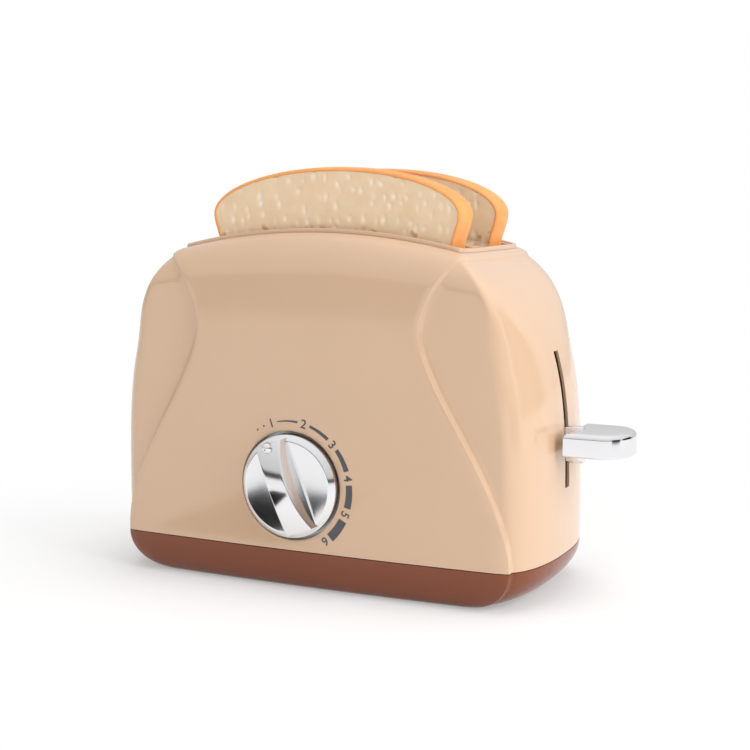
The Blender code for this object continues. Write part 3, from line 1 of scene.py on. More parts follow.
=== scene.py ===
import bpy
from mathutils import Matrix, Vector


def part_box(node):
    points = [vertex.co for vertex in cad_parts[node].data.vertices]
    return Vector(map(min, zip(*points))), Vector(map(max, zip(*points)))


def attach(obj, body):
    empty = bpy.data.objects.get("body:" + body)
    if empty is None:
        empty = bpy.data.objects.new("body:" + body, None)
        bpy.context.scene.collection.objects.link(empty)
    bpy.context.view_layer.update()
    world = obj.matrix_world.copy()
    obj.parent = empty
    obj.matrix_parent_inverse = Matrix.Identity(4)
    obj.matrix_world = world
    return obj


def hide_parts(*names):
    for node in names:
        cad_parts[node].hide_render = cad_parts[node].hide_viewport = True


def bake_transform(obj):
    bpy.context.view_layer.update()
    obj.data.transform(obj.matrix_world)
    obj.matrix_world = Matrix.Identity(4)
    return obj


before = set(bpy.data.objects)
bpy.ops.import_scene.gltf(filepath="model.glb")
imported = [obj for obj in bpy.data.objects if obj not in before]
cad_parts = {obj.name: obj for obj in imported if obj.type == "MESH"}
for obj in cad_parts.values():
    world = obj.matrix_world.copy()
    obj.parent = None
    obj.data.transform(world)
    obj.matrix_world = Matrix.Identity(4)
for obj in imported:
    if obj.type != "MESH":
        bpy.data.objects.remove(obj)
"""Toy pop-up toaster with two toy bread slices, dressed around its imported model.

Everything is in metres, with +Z up, +X along the front to the lever and the dial at -Y.
Each class stands for one sub-assembly of the toaster and makes and finishes its own pieces.
"""
import logging
import math
import random
from dataclasses import dataclass, field
from enum import Enum
from typing import Iterable, Sequence

import bmesh
import bpy
import numpy as np
from mathutils import Vector
from mathutils.bvhtree import BVHTree

LOG = logging.getLogger("toaster")
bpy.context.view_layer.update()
SHELL_LOW, SHELL_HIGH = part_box("body_shell")
TRAY_LOW, TRAY_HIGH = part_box("base_tray")

SCREWS = tuple(f"base_screw_{place}" for place in ("front_left", "front_right", "rear_left", "rear_right"))
RODS = ("guide_rod_front_right", "guide_rod_rear_right", "guide_rod_left")

Spot = tuple[float, float]
Point = tuple[float, float, float]
Colour = tuple[float, float, float]
LONG_SIDE = 0.02
NOISE_SPAN = (0.3, 0.7)
UNIT = (0.0, 1.0)


# Finishes


def new_node(tree: bpy.types.NodeTree, kind: str, links: dict | None = None,
             **values: object) -> bpy.types.Node:
    """Add a node, set its properties and link its inputs.

    Args:
        tree: The node tree.
        kind: The node's type name.
        links: The output that each input takes, by the input's name or number.
        values: Properties of the node, or of its sockets when the name starts with a capital.

    Returns:
        The new node.
    """
    node = tree.nodes.new(kind)
    for key, value in values.items():
        if key[0].isupper():
            node.inputs[key.replace("_", " ")].default_value = value
        else:
            setattr(node, key, value)
    for key, source in (links or {}).items():
        tree.links.new(source, node.inputs[key])
    return node


def ramp(tree: bpy.types.NodeTree, source: bpy.types.NodeSocket, span: Spot,
         levels: Spot) -> bpy.types.NodeSocket:
    """Return a value that goes between two levels while the source crosses a span."""
    node = new_node(tree, "ShaderNodeMapRange", {"Value": source})
    node.inputs["From Min"].default_value, node.inputs["From Max"].default_value = span
    node.inputs["To Min"].default_value, node.inputs["To Max"].default_value = levels
    return node.outputs["Result"]


def reckon(tree: bpy.types.NodeTree, operation: str, *sources: bpy.types.NodeSocket) -> bpy.types.NodeSocket:
    """Return the result of one operation, taken over several values in turn."""
    result = sources[0]
    for source in sources[1:]:
        result = new_node(tree, "ShaderNodeMath", {0: result, 1: source}, operation=operation).outputs[0]
    return result


class Nodes:
    """A short way to wire the nodes of one material."""

    def __init__(self, name: str) -> None:
        """Start a material with a Principled shader.

        Args:
            name: The material's name.
        """
        self.material = bpy.data.materials.new(name)
        self.material.use_nodes = True
        self.tree = self.material.node_tree
        self.shader = self.tree.nodes["Principled BSDF"]
        self.place = self.add("ShaderNodeTexCoord").outputs["Object"]

    def add(self, kind: str, links: dict | None = None, **values: object) -> bpy.types.Node:
        """Add a node to the material, as new_node does."""
        return new_node(self.tree, kind, links, **values)

    def join(self, source: bpy.types.NodeSocket, target: bpy.types.NodeSocket) -> None:
        """Link an output to an input."""
        self.tree.links.new(source, target)

    def noise(self, scale: float, detail: float = 3.0, roughness: float = 0.5) -> bpy.types.NodeSocket:
        """Add a noise pattern in object space.

        Args:
            scale: Waves per metre.
            detail: Number of octaves.
            roughness: Weight of the finer octaves.

        Returns:
            The pattern's value output.
        """
        links = {"Vector": self.place}
        node = self.add("ShaderNodeTexNoise", links, Scale=scale, Detail=detail, Roughness=roughness)
        return node.outputs["Fac"]

    def spread(self, source: bpy.types.NodeSocket, low: float, high: float) -> bpy.types.NodeSocket:
        """Stretch a pattern's middle part to a range.

        Args:
            source: A value between 0 and 1.
            low: The result where the pattern is low.
            high: The result where the pattern is high.

        Returns:
            The stretched value output.
        """
        return ramp(self.tree, source, NOISE_SPAN, (low, high))

    def tint(self, share: bpy.types.NodeSocket, first: Colour, second: Colour) -> bpy.types.NodeSocket:
        """Mix two colours by a value.

        Args:
            share: The share of the second colour.
            first: The colour at 0.
            second: The colour at 1.

        Returns:
            The mixed colour output.
        """
        node = self.add("ShaderNodeMix", {0: share}, data_type="RGBA")
        node.inputs[6].default_value = (*first, 1.0)
        node.inputs[7].default_value = (*second, 1.0)
        return node.outputs[2]

    def overlay(self, share: bpy.types.NodeSocket, under: bpy.types.NodeSocket,
                over: Colour) -> bpy.types.NodeSocket:
        """Mix a fixed colour over another by a value."""
        node = self.add("ShaderNodeMix", {0: share, 6: under}, data_type="RGBA")
        node.inputs[7].default_value = (*over, 1.0)
        return node.outputs[2]

    def bump(self, height: bpy.types.NodeSocket, distance: float, strength: float = 1.0) -> None:
        """Bend the shader's normals by a height pattern.

        Args:
            height: The pattern.
            distance: The real height of the pattern, in metres.
            strength: Share of the effect.
        """
        node = self.add("ShaderNodeBump", {"Height": height}, Distance=distance, Strength=strength)
        earlier = self.shader.inputs["Normal"].links
        if earlier:
            self.join(earlier[0].from_socket, node.inputs["Normal"])
        self.join(node.outputs["Normal"], self.shader.inputs["Normal"])

    def colour(self, source: bpy.types.NodeSocket) -> None:
        """Send a colour to the shader."""
        self.join(source, self.shader.inputs["Base Color"])

    def roughness(self, source: bpy.types.NodeSocket) -> None:
        """Send a roughness to the shader."""
        self.join(source, self.shader.inputs["Roughness"])


def shade(colour: Colour, share: float) -> Colour:
    """Return a colour made darker or lighter by a share."""
    return tuple(min(1.0, channel * share) for channel in colour)


@dataclass(frozen=True)
class MouldedPlastic:
    """Glossy or satin injection-moulded plastic."""

    name: str
    colour: Colour
    smooth: float
    rough: float
    coat: float = 0.0
    ripple: float = 0.00001
    grain: float = 0.000004
    cloudiness: float = 0.03

    def material(self) -> bpy.types.Material:
        """Return the plastic's material."""
        nodes = Nodes(self.name)
        cloud = nodes.noise(24.0)
        darker, lighter = shade(self.colour, 1 - self.cloudiness), shade(self.colour, 1 + self.cloudiness)
        nodes.colour(nodes.tint(cloud, darker, lighter))
        nodes.roughness(nodes.spread(nodes.noise(260.0, 4.0), self.smooth, self.rough))
        nodes.bump(nodes.noise(90.0, 1.0), self.ripple)
        nodes.bump(nodes.noise(2600.0, 2.0), self.grain)
        nodes.shader.inputs["Coat Weight"].default_value = self.coat
        nodes.shader.inputs["Coat Roughness"].default_value = 0.06
        return nodes.material


@dataclass(frozen=True)
class Plating:
    """Bright plating over moulded plastic, with the faint unevenness of a plated part."""

    name: str
    colour: Colour
    smooth: float
    rough: float
    ripple: float = 0.000012

    def material(self) -> bpy.types.Material:
        """Return the plating's material."""
        nodes = Nodes(self.name)
        nodes.shader.inputs["Metallic"].default_value = 1.0
        cloud = nodes.noise(60.0)
        nodes.colour(nodes.tint(cloud, shade(self.colour, 0.96), self.colour))
        nodes.roughness(nodes.spread(nodes.noise(700.0, 4.0), self.smooth, self.rough))
        nodes.bump(nodes.noise(180.0, 1.0), self.ripple)
        return nodes.material


@dataclass(frozen=True)
class Metal:
    """Drawn, pressed or wound steel with fine lines along one direction."""

    name: str
    colour: Colour
    smooth: float
    rough: float
    line_scale: float = 3.0

    def material(self) -> bpy.types.Material:
        """Return the steel's material."""
        nodes = Nodes(self.name)
        nodes.shader.inputs["Metallic"].default_value = 1.0
        stretch = nodes.add("ShaderNodeMapping", {"Vector": nodes.place}, Scale=(1.0, 1.0, self.line_scale))
        links = {"Vector": stretch.outputs["Vector"]}
        lines = nodes.add("ShaderNodeTexNoise", links, Scale=900.0, Detail=5.0).outputs["Fac"]
        nodes.colour(nodes.tint(lines, shade(self.colour, 0.85), self.colour))
        nodes.roughness(nodes.spread(lines, self.smooth, self.rough))
        nodes.bump(lines, 0.00002)
        return nodes.material


@dataclass(frozen=True)
class Crust:
    """Baked orange crust that darkens in soft patches."""

    name: str
    colour: Colour
    pale: Colour
    dark: Colour

    def material(self) -> bpy.types.Material:
        """Return the crust's material."""
        nodes = Nodes(self.name)
        wide = nodes.spread(nodes.noise(28.0, 2.0), 0.0, 1.0)
        fine = nodes.spread(nodes.noise(120.0, 4.0), 0.0, 0.35)
        nodes.colour(nodes.overlay(fine, nodes.tint(wide, self.colour, self.pale), self.dark))
        nodes.roughness(nodes.spread(nodes.noise(400.0), 0.42, 0.6))
        nodes.bump(nodes.noise(420.0, 3.0), 0.00006)
        return nodes.material


@dataclass(frozen=True)
class Crumb:
    """Pale crumb with toasted flecks, and a painted highlight that makes its pits paler."""

    name: str
    colour: Colour
    pale: Colour
    toasted: Colour
    # Colour of the painted highlight laid into the pits.
    pit_highlight_colour: Colour
    toast_height: float
    toast_fade: float = 0.002
    fleck_span: Spot = (0.60, 0.70)

    def material(self) -> bpy.types.Material:
        """Return the crumb's material."""
        nodes = Nodes(self.name)
        body = nodes.tint(nodes.spread(nodes.noise(160.0, 4.0), 0.0, 1.0), self.colour, self.pale)
        fleck = ramp(nodes.tree, nodes.noise(210.0, 1.0), self.fleck_span, UNIT)
        height = nodes.add("ShaderNodeSeparateXYZ", {0: nodes.place}).outputs["Z"]
        low = ramp(nodes.tree, height, (self.toast_height + self.toast_fade, self.toast_height), UNIT)
        toasted = nodes.overlay(reckon(nodes.tree, "MULTIPLY", fleck, low), body, self.toasted)
        # Painted highlight: the crumb turns paler in its pits, by their depth.
        pit_highlight = nodes.add("ShaderNodeAttribute", attribute_name="pit_highlight")
        nodes.colour(nodes.overlay(pit_highlight.outputs["Fac"], toasted, self.pit_highlight_colour))
        nodes.roughness(nodes.spread(nodes.noise(500.0), 0.30, 0.45))
        nodes.bump(nodes.noise(900.0, 3.0), 0.00003)
        return nodes.material


@dataclass(frozen=True)
class PrintedInk:
    """Matt ink of the dial's numbers and arcs."""

    name: str
    colour: Colour

    def material(self) -> bpy.types.Material:
        """Return the ink's material."""
        nodes = Nodes(self.name)
        nodes.colour(nodes.tint(nodes.noise(800.0), shade(self.colour, 0.9), shade(self.colour, 1.1)))
        nodes.roughness(nodes.spread(nodes.noise(1500.0), 0.32, 0.45))
        return nodes.material


class Finish(Enum):
    """The finishes of the toaster's pieces."""

    SHELL = MouldedPlastic("shell_beige", (0.600, 0.410, 0.275), 0.10, 0.15, coat=0.4)
    BASE = MouldedPlastic(
        "base_red_brown", (0.185, 0.046, 0.014), 0.14, 0.20, ripple=0.000004, grain=0.000001)
    NYLON = MouldedPlastic("gear_nylon", (0.80, 0.79, 0.74), 0.35, 0.5)
    CHROME = Plating("plating", (0.86, 0.86, 0.875), 0.02, 0.05)
    STEEL = Metal("steel", (0.56, 0.57, 0.58), 0.22, 0.38)
    SPRING = Metal("spring_steel", (0.40, 0.42, 0.45), 0.25, 0.4, 1.0)
    CRUST = Crust("crust", (0.78, 0.31, 0.080), (0.80, 0.38, 0.130), (0.62, 0.22, 0.05))
    # The crumb's fourth colour is a painted highlight for its pits.
    CRUMB = Crumb(
        "crumb", (0.72, 0.53, 0.34), (0.77, 0.59, 0.40), (0.50, 0.26, 0.10), (0.95, 0.88, 0.76), 0.1350)
    INK = PrintedInk("dial_ink", (0.075, 0.075, 0.085))

    @property
    def made(self) -> bpy.types.Material:
        """Return the finish's material, made on first use."""
        return bpy.data.materials.get(self.value.name) or self.value.material()


# Mesh helpers


def new_piece(name: str, points: Sequence, faces: Sequence, finish: Finish,
              sharp: float = 35.0) -> bpy.types.Object:
    """Make one object from points and faces.

    Args:
        name: The piece's name.
        points: The points in metres.
        faces: The faces as tuples of point numbers.
        finish: The piece's finish.
        sharp: The edge angle in degrees above which shading breaks.

    Returns:
        The new object, with its faces turned outwards.
    """
    mesh = bpy.data.meshes.new(name)
    mesh.from_pydata([tuple(map(float, point)) for point in points], [], faces)
    shape = bmesh.new()
    shape.from_mesh(mesh)
    bmesh.ops.recalc_face_normals(shape, faces=shape.faces)
    shape.to_mesh(mesh)
    shape.free()
    mesh.materials.append(finish.made)
    mesh.shade_smooth()
    mesh.set_sharp_from_angle(angle=math.radians(sharp))
    thing = bpy.data.objects.new(name, mesh)
    bpy.context.scene.collection.objects.link(thing)
    return thing


def skin(rings: Sequence, closed: bool = False, caps: bool = True, start: int = 0) -> list[tuple]:
    """Return the faces that join rings of equal length.

    Args:
        rings: The rings, each a sequence of points.
        closed: Whether the last ring joins the first.
        caps: Whether the first and last ring are closed by one face each.
        start: The number of the first point.

    Returns:
        The faces.
    """
    count = len(rings[0])
    total = len(rings)
    faces = []
    for level in range(total if closed else total - 1):
        low = start + level * count
        high = start + ((level + 1) % total) * count
        for step in range(count):
            after = (step + 1) % count
            faces.append((low + step, low + after, high + after, high + step))
    if caps and not closed:
        faces.append(tuple(range(start, start + count)))
        faces.append(tuple(range(start + (total - 1) * count, start + total * count)))
    return faces


def flatten(rings: Iterable[Iterable]) -> list:
    """Return the points of several rings as one list."""
    return [point for ring in rings for point in ring]


def apply_boolean(target: bpy.types.Object, other: bpy.types.Object, operation: str) -> None:
    """Apply an exact Boolean and delete the other object.

    Args:
        target: The object that changes.
        other: The object that cuts or joins.
        operation: UNION, DIFFERENCE or INTERSECT.
    """
    modifier = target.modifiers.new("shape", "BOOLEAN")
    modifier.operation = operation
    modifier.object = other
    modifier.solver = "EXACT"
    modifier.use_self = operation == "UNION"
    settle(target)
    bpy.data.objects.remove(other, do_unlink=True)


def settle(thing: bpy.types.Object) -> bpy.types.Object:
    """Apply an object's modifiers to its mesh."""
    graph = bpy.context.evaluated_depsgraph_get()
    graph.update()
    mesh = bpy.data.meshes.new_from_object(thing.evaluated_get(graph), depsgraph=graph)
    thing.modifiers.clear()
    thing.data = mesh
    return thing


def resharpen(thing: bpy.types.Object, sharp: float) -> bpy.types.Object:
    """Shade an object smooth with breaks above an angle in degrees."""
    thing.data.shade_smooth()
    thing.data.set_sharp_from_angle(angle=math.radians(sharp))
    return thing


def merged(things: Sequence[bpy.types.Object], name: str) -> bpy.types.Object:
    """Join separate objects into one and return it under a new name."""
    points, faces = [], []
    material = things[0].data.materials[0]
    for thing in things:
        start = len(points)
        points += [tuple(vertex.co) for vertex in thing.data.vertices]
        faces += [tuple(start + corner for corner in face.vertices) for face in thing.data.polygons]
        bpy.data.objects.remove(thing, do_unlink=True)
    mesh = bpy.data.meshes.new(name)
    mesh.from_pydata(points, [], faces)
    mesh.materials.append(material)
    mesh.shade_smooth()
    whole = bpy.data.objects.new(name, mesh)
    bpy.context.scene.collection.objects.link(whole)
    return whole


def circle(centre: Spot, radius: float, segments: int, shift: float = 0.0) -> list[Spot]:
    """Return points on a circle, the first a share of a step past its start."""
    turns = [math.tau * (step + shift) / segments for step in range(segments)]
    return [(centre[0] + radius * math.cos(turn), centre[1] + radius * math.sin(turn)) for turn in turns]


def plan_centre(node: str) -> Spot:
    """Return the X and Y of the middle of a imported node."""
    low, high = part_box(node)
    return (low.x + high.x) / 2, (low.y + high.y) / 2


def round_bar(name: str, centre: Spot, radius: float, low: float, high: float,
              finish: Finish, segments: int = 32) -> bpy.types.Object:
    """Make an upright round bar.

    Args:
        name: The piece's name.
        centre: The bar's X and Y.
        radius: The bar's radius.
        low: The height of its lower end.
        high: The height of its upper end.
        finish: Its finish.
        segments: Facets round it.

    Returns:
        The new object.
    """
    rings = [[(x, y, z) for x, y in circle(centre, radius, segments, 0.5)] for z in (low, high)]
    return new_piece(name, flatten(rings), skin(rings), finish)


def smooth_step(share: np.ndarray | float) -> np.ndarray | float:
    """Return a smooth step from 0 to 1."""
    share = np.clip(share, 0.0, 1.0)
    return share * share * (3.0 - 2.0 * share)


# Housing


@dataclass
class HousingForm:
    """The moulded form of the housing, as a surface over rise and plan.

    Rise goes from 0 at the parting line to 1 at the top opening. The end profile is a
    superellipse, the plan has round corners, the top is arched, and an hourglass band
    stands proud of the front and back.
    """

    band_rise: float = 0.0020
    band_top_rise: float = 0.0010
    parting_height: float = 0.0155
    rim_height: float = 0.1330
    rim_half_length: float = 0.0589
    rim_half_depth: float = 0.0312
    half_length: float = SHELL_HIGH.x
    shoulder_height: float = 0.0150
    arch_radius: float = 0.250
    end_length_power: float = 1.6
    end_height_power: float = 4.16
    curve_half_length: float = 0.0034
    plan_powers: Spot = (2.34, 6.0)
    bulges: Spot = (0.0130, 0.0035)
    corner_start_share: float = 0.60
    corner_power: float = 1.6
    bow_share: float = 0.06
    shoulder_start_share: float = 0.68
    foot_half_width: float = 0.0790
    waist_half_width: float = 0.0454
    top_half_width: float = 0.0603
    waist_height: float = 0.0995
    top_height: float = 0.1325
    foot_power: float = 1.5
    top_power: float = 1.8
    step_run: float = 0.0017
    band_columns: int = 22
    step_columns: int = 8
    ear_columns: int = 40
    bend_reach: float = 0.030
    shoulder_levels: int = 22
    wrap_levels: int = 9
    wrap_shares: Spot = (1.1, -0.1)
    least_rise_step: float = 0.0003
    flat_samples: int = 60
    corner_samples: int = 240

    @property
    def half_depth(self) -> float:
        """Return the half depth of the ears' surface, under the raised band."""
        return SHELL_HIGH.y - self.band_rise

    def end_share(self, reach: np.ndarray | float) -> np.ndarray | float:
        """Return the superellipse's length term for a half length of the housing."""
        share = (reach - self.curve_half_length) / (self.half_length - self.curve_half_length)
        return np.clip(share, 0.0, 1.0) ** self.end_length_power

    def rise_for_reach(self, reach: np.ndarray | float) -> np.ndarray | float:
        """Return the rise at which the housing's end has a given half length."""
        rim = self.end_share(self.rim_half_length)
        return ((1 - self.end_share(reach)) / (1 - rim)) ** (1 / self.end_height_power)

    def reach_for_rise(self, rise: float) -> float:
        """Return the housing's half length at a rise."""
        share = 1 - (1 - self.end_share(self.rim_half_length)) * rise ** self.end_height_power
        span = self.half_length - self.curve_half_length
        return self.curve_half_length + span * share ** (1 / self.end_length_power)

    @property
    def rim_drop(self) -> float:
        """Return how far the arch falls at the end of the top opening."""
        return float(self.arch_drop(np.array(self.rim_half_length)))

    def end_reach(self, height: float) -> float:
        """Return the half length of the end face at a height above the table."""
        climb = self.rim_height - self.rim_drop - self.parting_height
        return self.reach_for_rise((height - self.parting_height) / climb)

    def upper_share(self, rise: float, start: float) -> float:
        """Return a smooth step from 0 at one rise to 1 at the top opening."""
        return float(smooth_step((rise - start) / (1 - start)))

    def level(self, rise: float) -> dict[str, float]:
        """Return the sizes of one level of the housing.

        Args:
            rise: The share of the way from the parting line to the top opening.

        Returns:
            The level's height, plan sizes, arch share and band width.
        """
        height = self.parting_height + (self.rim_height - self.parting_height) * rise
        half_length = self.reach_for_rise(rise)
        crown = self.upper_share(rise, self.shoulder_start_share)
        corner = self.upper_share(rise, self.corner_start_share) ** self.corner_power
        shoulder = (height - self.rim_height + self.shoulder_height) / self.shoulder_height
        fall = math.sqrt(max(0.0, 1 - max(shoulder, 0.0) ** 2))
        return {
            "height": height,
            "half_length": half_length,
            "half_depth": self.rim_half_depth + (self.half_depth - self.rim_half_depth) * fall,
            "arch": rise * self.rim_drop / float(self.arch_drop(np.array(half_length))),
            "bulge": self.bulges[0] + (self.bulges[1] - self.bulges[0]) * corner,
            "power": self.plan_powers[0] + (self.plan_powers[1] - self.plan_powers[0]) * corner,
            "rise": self.band_rise + (self.band_top_rise - self.band_rise) * crown,
            "band": self.band_half_width(height),
        }

    def band_half_width(self, height: float) -> float:
        """Return the half width of the hourglass band at a height."""
        if height >= self.waist_height:
            share = min((height - self.waist_height) / (self.top_height - self.waist_height), 1.0)
            spread = (self.top_half_width - self.waist_half_width) * share ** self.top_power
            return self.waist_half_width + spread
        share = (self.waist_height - height) / (self.waist_height - self.parting_height)
        swell = math.sin(math.pi / 2 * share) ** self.foot_power
        return self.waist_half_width + (self.foot_half_width - self.waist_half_width) * swell

    def depth_at(self, x: np.ndarray, level: dict[str, float]) -> np.ndarray:
        """Return the half depth of a level's plan at places along the front."""
        flat = level["half_length"] - level["bulge"]
        share = np.clip((np.abs(x) - flat) / level["bulge"], 0.0, 1.0)
        bow = 1 - self.bow_share * (x / self.half_length) ** 2
        return level["half_depth"] * (1 - share ** level["power"]) ** (1 / level["power"]) * bow

    def arch_drop(self, x: np.ndarray) -> np.ndarray:
        """Return how far the arch falls at places along the front."""
        return self.arch_radius - np.sqrt(self.arch_radius ** 2 - x ** 2)

    def quarter(self, level: dict[str, float]) -> np.ndarray:
        """Return a quarter of a level's plan, from the middle of the back to the end.

        Args:
            level: The level's sizes.

        Returns:
            Columns of X, Y and the share by which the band is raised there.
        """
        edge = min(level["band"], level["half_length"] - level["bulge"] / 2)
        foot = edge + self.step_run
        flat = level["half_length"] - level["bulge"]
        band_x = np.linspace(0.0, edge, self.band_columns + 1)
        step_x = np.linspace(edge, foot, self.step_columns + 1)[1:]
        raised = np.concatenate([np.ones(len(band_x)), 1 - smooth_step((step_x - edge) / self.step_run)])
        x = np.concatenate([band_x, step_x])
        y = self.depth_at(x, level)
        ear = self.ear_points(foot, flat, level)[1:]
        past_end = self.top_half_width + self.step_run / 2 - level["half_length"]
        over_top = smooth_step(past_end / self.step_run + 0.5)
        raised = np.maximum(np.concatenate([raised, np.zeros(len(ear))]), over_top)
        return np.column_stack([np.concatenate([x, ear[:, 0]]), np.concatenate([y, ear[:, 1]]), raised])

    def ear_points(self, foot: float, flat: float, level: dict[str, float]) -> np.ndarray:
        """Return plan points from the band's foot to the end, closer in the corner.

        Args:
            foot: The X of the band's foot.
            flat: The X where the round corner starts.
            level: The level's sizes.

        Returns:
            The points, the first on the foot and the last on the end.
        """
        power, bulge = level["power"], level["bulge"]
        start = math.acos(min(1.0, (max(foot - flat, 0.0) / bulge) ** (power / 2)))
        dense_x = list(np.linspace(foot, flat, self.flat_samples, endpoint=False)) if foot < flat else []
        dense = [(x, float(self.depth_at(np.array(x), level))) for x in dense_x]
        for turn in np.linspace(start, 0.0, self.corner_samples):
            x = flat + bulge * math.cos(turn) ** (2 / power)
            bow = 1 - self.bow_share * (x / self.half_length) ** 2
            dense.append((x, level["half_depth"] * max(math.sin(turn), 0.0) ** (2 / power) * bow))
        dense = np.array(dense)
        steps = np.diff(dense, axis=0)
        heading = np.unwrap(np.arctan2(steps[:, 1], steps[:, 0]))
        bends = np.concatenate([[0.0], np.abs(np.diff(heading))])
        weights = np.concatenate([[0.0], np.cumsum(np.hypot(*steps.T) + self.bend_reach * bends)])
        targets = np.linspace(0.0, weights[-1], self.ear_columns + 1)
        return np.column_stack([np.interp(targets, weights, dense[:, axis]) for axis in (0, 1)])

    def ring(self, rise: float) -> tuple[np.ndarray, np.ndarray]:
        """Return a whole level as points in space with their raised shares.

        Args:
            rise: The share of the way up the housing.

        Returns:
            The points, and the height of the band's step at each.
        """
        level = self.level(rise)
        quarter = self.quarter(level)
        front = quarter[:-1][::-1] * (1, -1, 1)
        right = np.concatenate([quarter, front])
        left = right[1:-1][::-1] * (-1, 1, 1)
        plan = np.concatenate([right, left])
        height = level["height"] - level["arch"] * self.arch_drop(plan[:, 0])
        return np.column_stack([plan[:, 0], plan[:, 1], height]), plan[:, 2] * level["rise"]

    def rises(self, count: int) -> np.ndarray:
        """Return the levels' rises, closer on the shoulder and where the band wraps over the ends."""
        turns = np.linspace(0.0, math.pi / 2, self.shoulder_levels)
        shoulder = 1 - (1 - np.sin(turns)) * self.shoulder_height / (self.rim_height - self.parting_height)
        even = np.linspace(0.0, 1.0, count)
        wrap_places = self.step_run * np.linspace(*self.wrap_shares, self.wrap_levels)
        wrap = self.rise_for_reach(self.top_half_width + wrap_places)
        rises = np.sort(np.concatenate([even[even < shoulder[0]], shoulder, wrap]))
        kept = [0.0]
        for rise in rises[1:-1]:
            if min(rise - kept[-1], 1.0 - rise) > self.least_rise_step:
                kept.append(float(rise))
        return np.array(kept + [1.0])

    def rings(self, rises: np.ndarray, offset: float) -> np.ndarray:
        """Return levels moved along the surface's normals, with the band raised.

        Args:
            rises: The levels' rises.
            offset: The distance from the ears' surface, negative inwards.

        Returns:
            An array of levels by points by axes.
        """
        made = [self.ring(rise) for rise in rises]
        points = np.array([ring for ring, _ in made])
        raised = np.array([rise for _, rise in made])
        along = np.roll(points, -1, axis=1) - np.roll(points, 1, axis=1)
        up = np.gradient(points, axis=0)
        normals = np.cross(up, along)
        normals /= np.maximum(np.linalg.norm(normals, axis=2, keepdims=True), 1e-12)
        outward = np.sign((normals[0, 0] @ np.array([0.0, 1.0, 0.0])) or 1.0)
        moved = points + normals * outward * (offset + raised)[:, :, None]
        moved[0, :, 2] = self.parting_height
        return moved


